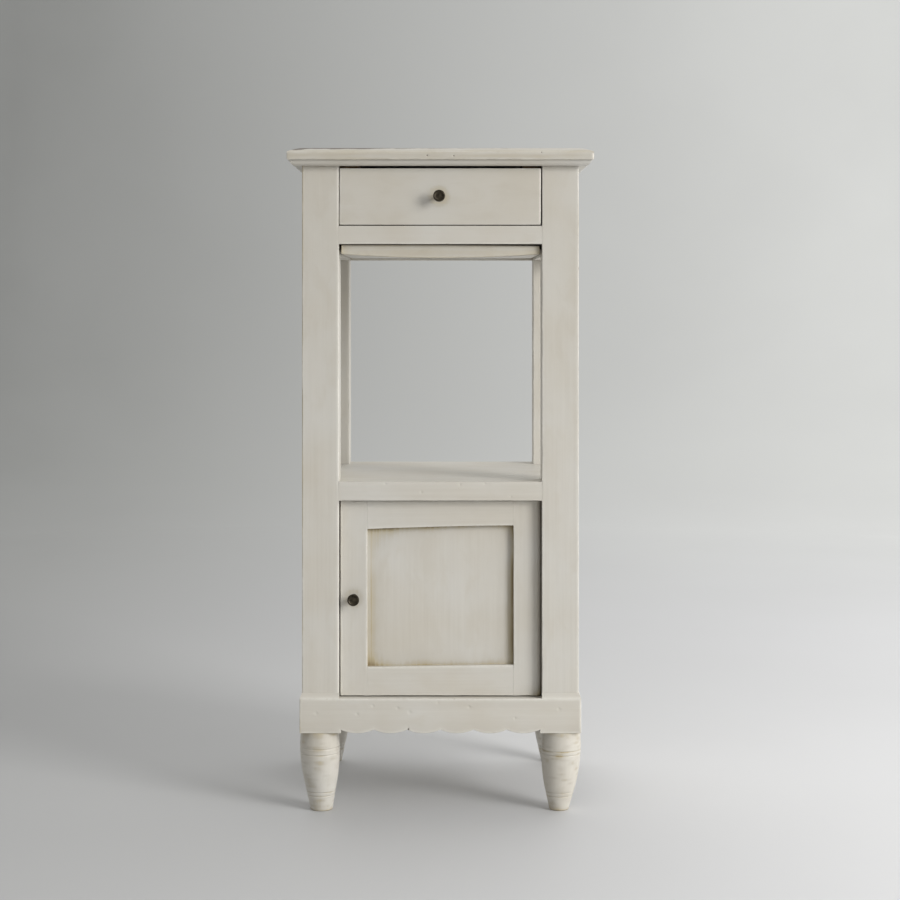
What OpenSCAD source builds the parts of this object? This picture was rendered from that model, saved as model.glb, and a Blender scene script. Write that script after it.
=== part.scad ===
// A tall painted bedside cupboard on turned feet: a drawer and a pull-out slide at the top,
// an open niche between four square posts, and a small cupboard with a panelled door below.
// Millimetres, +Z up, the front looks along -Y, origin under the middle of the footprint.

/* [Carcass] */
// Width across the outer faces of the posts
body_w = 346; // [320:1:400]
// Depth from the front faces to the back faces of the posts
body_d = 310; // [290:1:380]
// Width and depth of a square post
post_w = 46; // [42:1:52]
// Height of a turned foot below the plinth
foot_h = 100; // [90:1:130]
// Height of the plinth up to the sill of the door
plinth_h = 43; // [40:1:60]
// Height of the door opening
door_open_h = 247; // [230:1:300]
// Height of the shelf frame between cupboard and niche
shelf_h = 24; // [22:1:30]
// Clear height of the niche from the shelf to the panels above it
niche_h = 281.5; // [240:0.5:340]
// Height of the rail under the drawer
drawer_rail_h = 23; // [20:1:30]
// Height from the drawer rail up to the top board
drawer_space_h = 81; // [76:1:100]

/* [Top and moulding] */
// Thickness of the top board
top_t = 16; // [14:1:20]
// Overhang of the top board at each side
top_over_side = 18; // [15:1:24]
// Overhang of the top board at the front
top_over_front = 19.5; // [19:0.5:26]
// How far the long bevel on the top board reaches inwards
top_bevel_run = 18; // [8:1:24]
// How far that bevel falls
top_bevel_drop = 5.5; // [2:0.5:7]
// Height of the moulding under the top board
moulding_h = 6.5; // [5:0.5:8]
// How far the moulding stands out at its upper edge
moulding_out = 13; // [9:0.5:14]
// How far the moulding stands out at its lower edge
moulding_foot_out = 8; // [4:0.5:8]
// Height of the rounded lower part of the moulding
moulding_round_h = 4; // [2:0.5:4.5]

/* [Feet] */
// Widest diameter of a foot
foot_belly_d = 50; // [46:0.5:52]
// Height above the floor of the widest place
foot_belly_z = 78; // [73:1:82]
// Radius of the long curve of the belly
foot_curve_r = 220; // [150:5:250]
// Diameter of the foot on the floor
foot_toe_d = 25.6; // [24:0.2:32]
// Small bevel round the toe
foot_toe_bevel = 1.2; // [0.5:0.1:2]
// Distance of a foot's axis from the outer side face of its post, and from the front face
foot_inset = 21; // [20:0.5:23]
// Diameter of the round spigot that holds a foot in its post
spigot_d = 18; // [14:1:20]
// Length of that spigot
spigot_len = 24; // [18:1:30]
// Height of the upper pair of turned lines, measured to the middle of the pair
upper_lines_z = 74; // [62:1:80]
// Height of the lower pair of turned lines
lower_lines_z = 20.5; // [10:0.5:26]
// Distance between the two lines of a pair
line_gap = 5; // [4:0.2:8]
// Depth of a turned line
line_depth = 0.5; // [0.3:0.1:1.5]

/* [Plinth] */
// Thickness of a plinth board
plinth_t = 10; // [8:0.5:12]
// How far the plinth stands out from the posts
plinth_proud = 3; // [2:0.5:4]
// Height of the bevel that brings the plinth back to the face of the posts
plinth_bevel_h = 7; // [5:0.5:10]
// Number of round lobes along the lower edge at the front
lobe_count = 6; // [4:1:8]
// Depth of the notches between the lobes
lobe_depth = 4.5; // [3:0.5:6]
// Plain edge left between the line of a post and the first lobe
lobe_margin = 2.5; // [0.5:0.5:6]
// Width and height of a glue block under the cupboard floor
glue_block = 18; // [12:1:20]
// Length of a glue block
glue_block_len = 40; // [25:1:50]
// Distance of the front and back glue blocks from the middle
glue_block_x = 70; // [40:1:80]

/* [Panels and boards] */
// Thickness of the side panels
side_t = 12; // [10:1:14]
// Thickness of the back boards
back_t = 12; // [9:1:14]
// Distance of the back boards from the back faces of the posts
back_inset = 6; // [4:1:10]
// Depth of the grooves that hold panels and back boards in the posts
groove_in = 10; // [6:1:10]
// Distance of the shelf side and back rails from the outer faces of the posts
shelf_rail_inset = 4; // [3:0.5:6]
// Thickness of the shelf board
shelf_board_t = 12; // [10:1:14]
// Width of the rebate that carries the shelf board
shelf_rebate = 8; // [6:1:10]
// Thickness of the cupboard floor
floor_t = 14; // [13:1:18]

/* [Joints] */
// Length of the rail tenons
tenon_len = 14; // [10:1:14]
// Thickness of the rail tenons
tenon_t = 14; // [10:1:14]
// Shoulder above and below a tenon
tenon_shoulder = 4; // [3:0.5:5]
// Distance of the front rail tenons from the face
tenon_set_in = 16; // [10:1:16]
// Wood left between the two mortises that meet in a post
mortise_wall = 2; // [1:0.5:3]
// Glue clearance round a tenon
glue_gap = 0.1; // [0.05:0.05:0.3]
// Free depth behind a tenon, spigot, dowel or pin in its hole
end_gap = 1; // [0.5:0.1:1.5]
// Diameter of the dowels between posts and top board
dowel_d = 10; // [8:1:12]
// Length of a dowel in the post
dowel_in_post = 20; // [15:1:30]
// Length of a dowel in the top board
dowel_in_top = 8; // [6:1:9]
// Clearance of a screw, dowel, pin or spigot round its shaft
hole_gap = 0.03; // [0.01:0.01:0.05]

/* [Drawer] */
// Gap between the drawer and the posts at each side
drawer_gap = 1; // [0.6:0.1:2]
// Gap between the drawer front and the rail below it
drawer_front_rise = 1.4; // [0.8:0.1:2]
// Height of the drawer front
drawer_front_h = 70.6; // [69:0.2:71]
// Thickness of the drawer front
drawer_front_t = 18; // [16:1:20]
// Thickness of the drawer sides and of the drawer back
drawer_side_t = 10; // [8:1:12]
// Height of the drawer sides
drawer_side_h = 65.7; // [60:0.1:66]
// How far the drawer back stays below the sides
drawer_back_low = 6; // [3:1:10]
// Free space behind the closed drawer
drawer_back_gap = 14; // [5:1:30]
// Thickness of the drawer bottom
drawer_bottom_t = 6; // [4:0.5:7]
// Height of the drawer bottom above the lower edge of the sides
drawer_bottom_up = 8; // [6:0.5:12]
// Depth of the groove for the drawer bottom
drawer_groove = 5; // [3:0.5:6]
// Number of dovetails at each front corner
front_tails = 3; // [2:1:4]
// Number of dovetails at each rear corner
rear_tails = 2; // [1:1:3]
// Width of a dovetail at its wide end
tail_wide = 13; // [11:0.5:14]
// Width of a dovetail at its root
tail_root = 9; // [7:0.5:10]
// Length of the lapped dovetails in the drawer front
tail_len = 12; // [8:1:13]
// Running gap of the drawer on its runners
run_gap = 0.3; // [0.2:0.1:0.6]
// Gap between the drawer sides and the kickers above them
kicker_gap = 1.5; // [0.8:0.1:3]
// Width of the runners under the drawer sides and of the kickers above them
runner_w = 23; // [16:1:30]
// Height of the guide beside the drawer above its runner
guide_h = 14; // [8:1:25]
// Width of a drawer stop
stop_w = 30; // [20:1:40]
// Height of a drawer stop
stop_h = 5; // [3:0.5:6]
// Depth of a drawer stop
stop_d = 18; // [10:1:22]
// Distance of each drawer stop from the middle
stop_x = 60; // [40:1:80]

/* [Pull-out slide] */
// Thickness of the slide board
slide_t = 9; // [8:0.5:12]
// Gap between the slide and the level of the panels' lower edge
slide_gap_below = 3; // [2:0.5:6]
// Gap between the slide and the rail above it
slide_gap_above = 3.5; // [3:0.5:6]
// Gap between the slide and the posts at each side
slide_side_gap = 2.5; // [1.5:0.5:4]
// Distance of the slide behind the face of the posts
slide_set_back = 7; // [0:0.5:8]
// Depth of the nosing strip on the slide
nosing_d = 12; // [9:1:16]
// Length of the tongue that holds the nosing on the slide
nosing_tongue = 5; // [3:0.5:6]
// How far the lower edge of the nosing bows down in the middle
nosing_bow = 4.75; // [2:0.25:7]
// How far the nosing stands up above the slide board, under the rail
nosing_rise = 2.3; // [0:0.1:2.5]
// Radius of the upper front edge of the nosing
nosing_round = 3; // [1:0.5:4]
// Height of the tongues that carry the slide
slide_tongue_h = 3.6; // [3:0.2:4]
// Clearance round a tongue in its groove
slide_tongue_gap = 0.3; // [0.2:0.05:0.5]
// How far a tongue reaches into the edge of the slide
slide_tongue_in = 4; // [3:0.5:6]
// Way that the slide pulls out
slide_travel = 180; // [120:5:185]
// Diameter of the pegs that stop the slide
peg_d = 6; // [5:0.5:8]
// Depth of a peg in the slide
peg_in = 5; // [3:0.5:6]
// Gap between a peg and the rail that it passes under
peg_gap = 0.5; // [0.3:0.1:0.8]
// Distance of each peg from the middle
peg_x = 80; // [50:1:90]

/* [Door] */
// Gap round the door
door_gap = 1.2; // [1:0.1:2]
// Distance of the door behind the face of the posts
door_set_back = 12; // [10:0.5:14]
// Thickness of the door frame
door_t = 19; // [17:0.5:22]
// Width of the door stiles
stile_w = 34; // [32:1:45]
// Height of the upper door rail
door_top_rail = 31; // [28:1:45]
// Height of the lower door rail
door_bottom_rail = 36; // [30:1:50]
// Distance of the panel behind the face of the door frame
panel_set_back = 7.5; // [5:0.5:8]
// Thickness of the door panel
panel_t = 6; // [5:0.5:8]
// Depth of the groove that holds the panel
panel_in = 7; // [5:0.5:9]
// Room that lets the panel swell in its groove
panel_float = 0.5; // [0.3:0.1:1]
// Length of the tenons of the door rails
door_tenon_len = 19; // [12:1:19]
// Shoulder of those tenons at the outer edge of the rail
door_tenon_shoulder = 6; // [4:1:8]
// Height of the door stop strip
door_stop_h = 220; // [150:5:220]
// Width of the door stop strip
door_stop_w = 11; // [8:1:16]
// Depth of the door stop strip
door_stop_d = 10; // [6:1:12]
// Gap between the closed door and the stop strip
door_stop_gap = 0.4; // [0.3:0.1:0.8]

/* [Door pivots and catch] */
// Diameter of the pivot pins
pivot_d = 5; // [4:0.5:5.5]
// Length of a pivot pin in the door
pivot_in_door = 12; // [8:1:16]
// Length of a pivot pin in the rail or in the floor
pivot_in_frame = 11; // [8:1:11]
// Radial running clearance of the door on its pins
pivot_play = 0.05; // [0.02:0.01:0.08]
// Diameter of the washer under the door
washer_d = 14; // [10:0.5:16]
// Thickness of that washer
washer_t = 0.9; // [0.6:0.1:0.9]
// Diameter of the barrel of the ball catch
catch_d = 8; // [7.5:0.5:9]
// Length of that barrel
catch_len = 14; // [12:1:16]
// Thickness of the closed end of the barrel
catch_end_t = 2; // [1:0.5:3]
// Diameter of its ball
ball_d = 6; // [5:0.5:6]
// Gap between the ball and the strike plate
ball_gap = 0.3; // [0.2:0.05:0.5]
// Height of the ball catch above the middle of the door
catch_up = 32; // [25:1:60]
// Length of the strike plate
strike_len = 30; // [24:1:40]
// Width of the strike plate
strike_w = 12; // [10:1:14]
// Thickness of the strike plate
strike_t = 1; // [0.8:0.1:1.5]
// Diameter of the hole that takes the ball
strike_hole_d = 4; // [3:0.5:5]

/* [Knobs and screws] */
// Diameter of a knob
knob_d = 15; // [13:0.5:18]
// How far a knob stands out
knob_len = 18; // [16:0.5:18.5]
// Diameter of the neck of a knob
knob_neck_d = 7; // [6:0.5:9]
// Diameter of the small foot of a knob
knob_foot_d = 11; // [10:0.5:12]
// Thickness of that foot
knob_foot_t = 1.6; // [1:0.1:3]
// Thickness of the head of a knob
knob_head_t = 5; // [4:0.5:6]
// Depth of the dish in the face of a knob
knob_dish = 0.8; // [0.4:0.1:1.2]
// Place of the drawer knob to the right of the middle
drawer_knob_x = -1.5; // [-10:0.5:10]
// Diameter of the knob screws
knob_screw_d = 4; // [3:0.5:4]
// Depth of a knob screw in its knob
knob_screw_in = 9; // [6:1:11]
// Diameter of the head of a knob screw
screw_head_d = 8; // [7:0.5:10]
// Thickness of the head of a knob screw
screw_head_t = 2.4; // [1.5:0.1:3]
// Diameter of the kicker screws
kicker_screw_d = 4; // [3:0.5:5]
// Length of a kicker screw in the top board
kicker_screw_in = 8; // [6:1:10]
// Distance of the kicker screws from the posts
kicker_screw_end = 30; // [20:1:60]

/* [Hidden] */
$fn = 96;

paint = [0.84, 0.82, 0.76];
bare_wood = [0.68, 0.53, 0.36];
bronze = [0.28, 0.24, 0.17];
steel = [0.62, 0.62, 0.6];
brass = [0.74, 0.6, 0.33];

// How far a cut passes the face that it opens
past = 1;

// Levels, from the floor upwards
sill_z = foot_h + plinth_h;
floor_z = sill_z - floor_t;
plinth_top_z = sill_z + plinth_bevel_h;
shelf_under_z = sill_z + door_open_h;
shelf_z = shelf_under_z + shelf_h;
panels_z = shelf_z + niche_h;
slide_z = panels_z + slide_gap_below;
slide_top_z = slide_z + slide_t;
rail_z = slide_top_z + slide_gap_above;
rail_top_z = rail_z + drawer_rail_h;
top_z = rail_top_z + drawer_space_h;

// Widths, from the middle outwards
half_w = body_w / 2;
half_open = half_w - post_w;
side_inset = plinth_t - plinth_proud;
panel_out_x = half_w - side_inset;
panel_in_x = panel_out_x - side_t;
shelf_rail_x = half_w - shelf_rail_inset;
post_mid_x = half_open + post_w / 2;

// Depths, from the front backwards
front = -(body_d - top_over_front) / 2;
back = front + body_d;
post_back = front + post_w;
rear_post_front = back - post_w;
back_board_out = back - back_inset;
back_board_in = back_board_out - back_t;
shelf_rail_back = back - shelf_rail_inset;
middle = (post_back + rear_post_front) / 2;

// Rail tenons, as they lie in the posts
front_tenon_y = front + tenon_set_in;
back_tenon_y = back - tenon_set_in - tenon_t;
side_tenon_x = half_open + tenon_len + mortise_wall;

// Feet
foot_x = half_w - foot_inset;
foot_front_y = front + foot_inset;
belly_r = foot_belly_d / 2;
foot_rear_y = back - belly_r;
toe_r = foot_toe_d / 2;
belly_axis_r = belly_r - foot_curve_r;
// The taper leaves the toe as a tangent to the curve of the belly
toe_reach = norm([toe_r - belly_axis_r, foot_belly_z]);
taper_turn = acos(foot_curve_r / toe_reach) - atan2(foot_belly_z, toe_r - belly_axis_r);
taper_z = foot_belly_z + foot_curve_r * sin(taper_turn);
taper_r = belly_axis_r + foot_curve_r * cos(taper_turn);
belly_turn = asin((foot_h - foot_belly_z) / foot_curve_r);
function foot_r(z) = z < taper_z
  ? toe_r + (taper_r - toe_r) * z / taper_z
  : belly_axis_r + sqrt(pow(foot_curve_r, 2) - pow(z - foot_belly_z, 2));

// Lobes of the plinth
lobes_half = half_open - lobe_margin;
lobe_pitch = 2 * lobes_half / lobe_count;
lobe_r = (pow(lobe_pitch / 2, 2) + pow(lobe_depth, 2)) / (2 * lobe_depth);

// Drawer
drawer_half = half_open - drawer_gap;
drawer_inner = drawer_half - drawer_side_t;
drawer_z = rail_top_z + run_gap;
drawer_side_top = drawer_z + drawer_side_h;
drawer_front_z = rail_top_z + drawer_front_rise;
drawer_front_back = front + drawer_front_t;
drawer_rear = back_board_in - drawer_back_gap;
drawer_back_front = drawer_rear - drawer_side_t;
drawer_bottom_z = drawer_z + drawer_bottom_up;
drawer_back_z = drawer_bottom_z + drawer_bottom_t;
drawer_back_h = drawer_side_top - drawer_back_low - drawer_back_z;
drawer_knob_z = drawer_front_z + drawer_front_h / 2;
runner_x = half_open - runner_w;
kicker_z = drawer_side_top + kicker_gap;
kicker_front = drawer_front_back + kicker_gap;
kicker_screw_x = half_open - runner_w / 2;

// Slide
slide_half = half_open - slide_side_gap;
slide_front = front + slide_set_back;
slide_board_front = slide_front + nosing_d;
slide_rear = back_board_in - run_gap;
slide_tongue_x = slide_half - slide_tongue_in;
slide_tongue_z = slide_z + (slide_t - slide_tongue_h) / 2;
slide_tongue_front = slide_board_front + slide_tongue_gap;
nosing_tongue_x = slide_tongue_x - nosing_tongue;
bow_r = (pow(slide_half, 2) + pow(nosing_bow, 2)) / (2 * nosing_bow);
nosing_low_z = slide_z - nosing_bow;
nosing_top_z = slide_top_z + nosing_rise;
peg_y = post_back + slide_travel + peg_d / 2 + peg_gap;

// Door
door_half = half_open - door_gap;
door_front = front + door_set_back;
door_back = door_front + door_t;
door_z = sill_z + door_gap;
door_top = shelf_under_z - door_gap;
stile_in = door_half - stile_w;
edge_r = door_t / 2;
pivot_x = door_half - edge_r;
pivot_y = door_front + edge_r;
panel_front = door_front + panel_set_back;
panel_back = panel_front + panel_t;
panel_z = door_z + door_bottom_rail;
panel_top = door_top - door_top_rail;
door_mid_z = (door_z + door_top) / 2;
door_knob_x = -(stile_in + stile_w / 2);
catch_z = door_mid_z + catch_up;
ball_x = -half_open + ball_gap + ball_d / 2;

// A box between two corners
module box(low, high) {
  translate(low) cube(high - low);
}

// The same shape at both sides
module both_sides() {
  children();
  mirror([1, 0, 0]) children();
}

// The right-hand shape for side 1, its mirror image for side -1
module on_side(side) {
  if (side > 0) children();
  else mirror([1, 0, 0]) children();
}

// A straight shape that runs along Y, drawn in X and Z
module along_y(y0, y1) {
  translate([0, y1, 0]) rotate([90, 0, 0]) linear_extrude(y1 - y0) children();
}

// A straight shape that runs along X, drawn in Y and Z
module along_x(x0, x1) {
  translate([x0, 0, 0]) rotate([90, 0, 90]) linear_extrude(x1 - x0) children();
}

// A strip round the front, mitred at both ends; its section is drawn outwards from the posts
module front_strip(out, depth) {
  x = half_w + out;
  y = front - out;
  intersection() {
    linear_extrude(top_z + past)
      polygon([[-x, y], [x, y], [x - depth, y + depth], [-x + depth, y + depth]]);
    translate([0, front, 0]) mirror([0, 1, 0]) along_x(-body_w, body_w) children();
  }
}

// A strip along one side, mitred at the front and square at the back
module side_strip(side, out, depth) {
  x = half_w + out;
  y = front - out;
  on_side(side) intersection() {
    linear_extrude(top_z + past)
      polygon([[x, y], [x, back], [x - depth, back], [x - depth, y + depth]]);
    translate([half_w, 0, 0]) along_y(front - body_d, back) children();
  }
}

// The top board is bevelled along the front and both ends and square at the back
module top_bevel(length) {
  fall = top_bevel_drop / top_bevel_run;
  along_x(-length, length) polygon([
    [-past, -top_bevel_drop - past * fall],
    [top_bevel_run, 0],
    [top_bevel_run, past],
    [-past, past]
  ]);
}

module top_board() {
  x = half_w + top_over_side;
  y = front - top_over_front;
  color(paint) difference() {
    box([-x, y, top_z], [x, back, top_z + top_t]);
    translate([0, y, top_z + top_t]) top_bevel(body_w);
    both_sides() translate([x, middle, top_z + top_t]) rotate([0, 0, 90]) top_bevel(body_d);
    dowel_places() translate([0, 0, -past])
      cylinder(d = dowel_d + 2 * hole_gap, h = past + dowel_in_top + end_gap);
    kicker_screw_places()
      cylinder(d = kicker_screw_d + 2 * hole_gap, h = top_z - kicker_z + kicker_screw_in + end_gap);
  }
}

// A dowel stands in the top of each post and enters the top board
module dowel_places() {
  for (side = [-1, 1], y = [front + post_w / 2, back - post_w / 2])
    translate([side * post_mid_x, y, top_z]) children();
}

module top_dowels() {
  color(bare_wood) dowel_places() translate([0, 0, -dowel_in_post])
    cylinder(d = dowel_d, h = dowel_in_post + dowel_in_top);
}

// The moulding is a flat fillet under the top board, rounded away below
module moulding_section() {
  steps = 8;
  flare = moulding_out - moulding_foot_out;
  polygon(concat(
    [[0, top_z], [0, top_z - moulding_h]],
    [for (turn = [0:90 / steps:90])
      [moulding_foot_out + flare * sin(turn),
       top_z - moulding_h + moulding_round_h * (1 - cos(turn))]],
    [[moulding_out, top_z]]
  ));
}

module moulding_front() {
  color(paint) front_strip(moulding_out, moulding_out) moulding_section();
}

module moulding_side(side) {
  color(paint) side_strip(side, moulding_out, moulding_out) moulding_section();
}

// The cuts that the posts share
module plinth_rebate(y0, y1) {
  box([panel_out_x, y0, foot_h - past], [half_w + past, y1, plinth_top_z]);
}

module rail_mortise(y, z, height) {
  box([half_open - past, y - glue_gap, z + tenon_shoulder - glue_gap],
      [half_open + tenon_len + end_gap, y + tenon_t + glue_gap,
       z + height - tenon_shoulder + glue_gap]);
}

module side_rail_mortise(y0, y1) {
  box([side_tenon_x - glue_gap, y0, shelf_under_z + tenon_shoulder - glue_gap],
      [side_tenon_x + tenon_t + glue_gap, y1, shelf_z - tenon_shoulder + glue_gap]);
}

module side_grooves(y0, y1) {
  box([panel_in_x, y0, sill_z], [panel_out_x, y1, shelf_under_z]);
  box([panel_in_x, y0, panels_z], [panel_out_x, y1, top_z + past]);
}

module back_groove(z0, z1) {
  box([half_open - past, back_board_in, z0], [half_open + groove_in, back_board_out, z1]);
}

module post_end_holes(foot_y, mid_y) {
  translate([foot_x, foot_y, foot_h - past])
    cylinder(d = spigot_d + 2 * hole_gap, h = past + spigot_len + end_gap);
  translate([post_mid_x, mid_y, top_z - dowel_in_post - end_gap])
    cylinder(d = dowel_d + 2 * hole_gap, h = dowel_in_post + end_gap + past);
}

// The posts are square and run from the feet to the top board
module post_front(side) {
  color(paint) difference() {
    on_side(side) difference() {
      box([half_open, front, foot_h], [half_w, post_back, top_z]);
      plinth_rebate(front - past, post_back + past);
      box([half_open - past, front - past, foot_h - past],
          [half_w + past, front + side_inset, plinth_top_z]);
      rail_mortise(front_tenon_y, rail_z, drawer_rail_h);
      rail_mortise(front_tenon_y, shelf_under_z, shelf_h);
      side_rail_mortise(post_back - tenon_len - end_gap, post_back + past);
      side_grooves(post_back - groove_in, post_back + past);
      post_end_holes(foot_front_y, front + post_w / 2);
    }
    if (side < 0) translate([past, 0, 0]) strike_plate(strike_t + past);
  }
}

module post_rear(side) {
  color(paint) on_side(side) difference() {
    box([half_open, rear_post_front, foot_h], [half_w, back, top_z]);
    plinth_rebate(rear_post_front - past, back + past);
    rail_mortise(back_tenon_y, shelf_under_z, shelf_h);
    side_rail_mortise(rear_post_front - past, rear_post_front + tenon_len + end_gap);
    side_grooves(rear_post_front - past, rear_post_front + groove_in);
    back_groove(foot_h - past, shelf_under_z);
    back_groove(panels_z, top_z + past);
    post_end_holes(foot_rear_y, back - post_w / 2);
  }
}

// A foot is turned: a straight taper, a long round belly and two pairs of lines
module turned_line(z) {
  r = foot_r(z);
  rotate_extrude() polygon([
    [r - line_depth, z],
    [r + past, z - line_depth - past],
    [r + past, z + line_depth + past]
  ]);
}

module foot(side, y) {
  steps = 20;
  step = (belly_turn - taper_turn) / steps;
  color(paint) translate([side * foot_x, y, 0]) difference() {
    rotate_extrude() polygon(concat(
      [[0, 0], [toe_r - foot_toe_bevel, 0], [foot_r(foot_toe_bevel), foot_toe_bevel]],
      [for (i = [0:steps])
        [belly_axis_r + foot_curve_r * cos(taper_turn + i * step),
         foot_belly_z + foot_curve_r * sin(taper_turn + i * step)]],
      [[spigot_d / 2, foot_h], [spigot_d / 2, foot_h + spigot_len], [0, foot_h + spigot_len]]
    ));
    for (z = [upper_lines_z, lower_lines_z], half = [-0.5, 0.5]) turned_line(z + half * line_gap);
  }
}

// The plinth boards wrap the posts; the front one is cut out above the sill and lobed below
module plinth_section() {
  polygon([
    [-side_inset, foot_h],
    [plinth_proud, foot_h],
    [plinth_proud, plinth_top_z - plinth_bevel_h],
    [0, plinth_top_z],
    [-side_inset, plinth_top_z]
  ]);
}

module lobe_cut() {
  difference() {
    translate([-lobes_half, foot_h - past]) square([2 * lobes_half, past + lobe_depth]);
    for (i = [0:lobe_count - 1])
      translate([-lobes_half + (i + 0.5) * lobe_pitch, foot_h + lobe_r]) circle(lobe_r, $fn = 360);
  }
}

module plinth_front() {
  color(paint) difference() {
    front_strip(plinth_proud, plinth_t) plinth_section();
    box([-half_open, front - plinth_proud - past, sill_z],
        [half_open, front + plinth_t, plinth_top_z + past]);
    along_y(front - plinth_proud - past, front + plinth_t) lobe_cut();
  }
}

module plinth_side(side) {
  color(paint) side_strip(side, plinth_proud, plinth_t) plinth_section();
}

module back_board(z0, z1) {
  box([-half_open - groove_in, back_board_in, z0], [half_open + groove_in, back_board_out, z1]);
}

module plinth_back() {
  color(paint) back_board(foot_h, sill_z);
}

// Glue blocks fasten the plinth boards to the cupboard floor
module glue_blocks() {
  z = floor_z - glue_block;
  color(bare_wood) both_sides() {
    for (y = [front + side_inset, back_board_in - glue_block])
      box([glue_block_x - glue_block_len / 2, y, z],
          [glue_block_x + glue_block_len / 2, y + glue_block, floor_z]);
    box([panel_out_x - glue_block, middle - glue_block_len / 2, z],
        [panel_out_x, middle + glue_block_len / 2, floor_z]);
  }
}

// The cupboard floor fits round the posts
module cupboard_floor() {
  color(paint) difference() {
    union() {
      box([-half_open, front + side_inset, floor_z], [half_open, back_board_in, sill_z]);
      box([-panel_out_x, post_back, floor_z], [panel_out_x, rear_post_front, sill_z]);
    }
    translate([pivot_x, pivot_y, sill_z - pivot_in_frame - end_gap])
      cylinder(d = pivot_d + 2 * hole_gap, h = pivot_in_frame + end_gap + past);
  }
}

// Panels in the sides and boards in the back are held in grooves of the posts
module side_panel(side, z0, z1) {
  color(paint) on_side(side)
    box([panel_in_x, post_back - groove_in, z0],
        [panel_out_x, rear_post_front + groove_in, z1]);
}

module lower_back() {
  color(paint) back_board(sill_z, shelf_under_z);
}

module upper_back() {
  color(paint) back_board(panels_z, top_z);
}

// A rail between two posts, with a tenon at each end
module tenoned_rail(y0, y1, tenon_y, z, height) {
  box([-half_open, y0, z], [half_open, y1, z + height]);
  box([-half_open - tenon_len, tenon_y, z + tenon_shoulder],
      [half_open + tenon_len, tenon_y + tenon_t, z + height - tenon_shoulder]);
}

module drawer_rail() {
  color(paint) tenoned_rail(front, post_back, front_tenon_y, rail_z, drawer_rail_h);
}

// The shelf is a frame of four rails with a board let in flush
module shelf_front_rail() {
  color(paint) difference() {
    tenoned_rail(front, post_back, front_tenon_y, shelf_under_z, shelf_h);
    shelf_board_space();
    translate([pivot_x, pivot_y, shelf_under_z - past])
      cylinder(d = pivot_d + 2 * hole_gap, h = past + pivot_in_frame + end_gap);
  }
}

module shelf_back_rail() {
  color(paint) difference() {
    tenoned_rail(rear_post_front, shelf_rail_back, back_tenon_y, shelf_under_z, shelf_h);
    shelf_board_space();
  }
}

module shelf_side_rail(side) {
  color(paint) on_side(side) difference() {
    union() {
      box([half_open, post_back, shelf_under_z], [shelf_rail_x, rear_post_front, shelf_z]);
      box([side_tenon_x, post_back - tenon_len, shelf_under_z + tenon_shoulder],
          [side_tenon_x + tenon_t, rear_post_front + tenon_len, shelf_z - tenon_shoulder]);
    }
    shelf_board_space();
  }
}

module shelf_board_space() {
  box([-half_open - shelf_rebate, post_back - shelf_rebate, shelf_z - shelf_board_t],
      [half_open + shelf_rebate, rear_post_front + shelf_rebate, shelf_z + past]);
}

module shelf_board() {
  color(paint) difference() {
    box([-half_open - shelf_rebate, post_back - shelf_rebate, shelf_z - shelf_board_t],
        [half_open + shelf_rebate, rear_post_front + shelf_rebate, shelf_z]);
    both_sides() for (y = [front, rear_post_front])
      box([half_open, y, shelf_under_z], [half_w, y + post_w, shelf_z + past]);
  }
}

// Runners carry the drawer and guide it; kickers above keep it level when it is open
module runner(side) {
  color(bare_wood) on_side(side) {
    box([runner_x, post_back, rail_z], [half_open, back_board_in, rail_top_z]);
    box([half_open, post_back, rail_z], [panel_in_x, rear_post_front, rail_top_z + guide_h]);
  }
}

module kicker_screw_places() {
  for (side = [-1, 1], y = [post_back + kicker_screw_end, rear_post_front - kicker_screw_end])
    translate([side * kicker_screw_x, y, kicker_z]) children();
}

module kicker_screw(gap) {
  length = top_z - kicker_z + kicker_screw_in;
  cylinder(d = kicker_screw_d + 2 * gap, h = length);
  cylinder(d1 = 2 * kicker_screw_d + 2 * gap, d2 = kicker_screw_d + 2 * gap, h = kicker_screw_d / 2);
}

module kickers() {
  color(bare_wood) difference() {
    both_sides() box([runner_x, kicker_front, kicker_z], [half_open, back_board_in, top_z]);
    kicker_screw_places() {
      kicker_screw(hole_gap);
      translate([0, 0, -past]) cylinder(d = 2 * kicker_screw_d + 2 * hole_gap, h = past);
    }
  }
}

module kicker_screws() {
  color(steel) kicker_screw_places() kicker_screw(0);
}

module drawer_stops() {
  color(bare_wood) both_sides()
    box([stop_x - stop_w / 2, drawer_front_back + run_gap, rail_top_z],
        [stop_x + stop_w / 2, drawer_front_back + run_gap + stop_d, rail_top_z + stop_h]);
}

// Tongues on the slide rails carry the slide by grooves in its edges
module slide_rail(side) {
  color(paint) on_side(side) {
    box([half_open, post_back, panels_z], [panel_in_x, rear_post_front, rail_z]);
    box([slide_tongue_x, slide_tongue_front, slide_tongue_z],
        [half_open, back_board_in, slide_tongue_z + slide_tongue_h]);
  }
}

// The drawer is dovetailed; its bottom lies in grooves and runs under the back
module tails(count, root_y, length, z, height, gap) {
  way = sign(length);
  for (i = [0:count - 1]) let (mid = z + height * (i + 0.5) / count) polygon([
    [root_y - way * past, mid - tail_root / 2 - gap],
    [root_y - way * past, mid + tail_root / 2 + gap],
    [root_y + length + way * gap, mid + tail_wide / 2 + gap],
    [root_y + length + way * gap, mid - tail_wide / 2 - gap]
  ]);
}

module drawer_bottom_groove() {
  box([-drawer_inner - drawer_groove, drawer_front_back - drawer_groove, drawer_bottom_z],
      [drawer_inner + drawer_groove, drawer_rear + past, drawer_back_z]);
}

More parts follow.
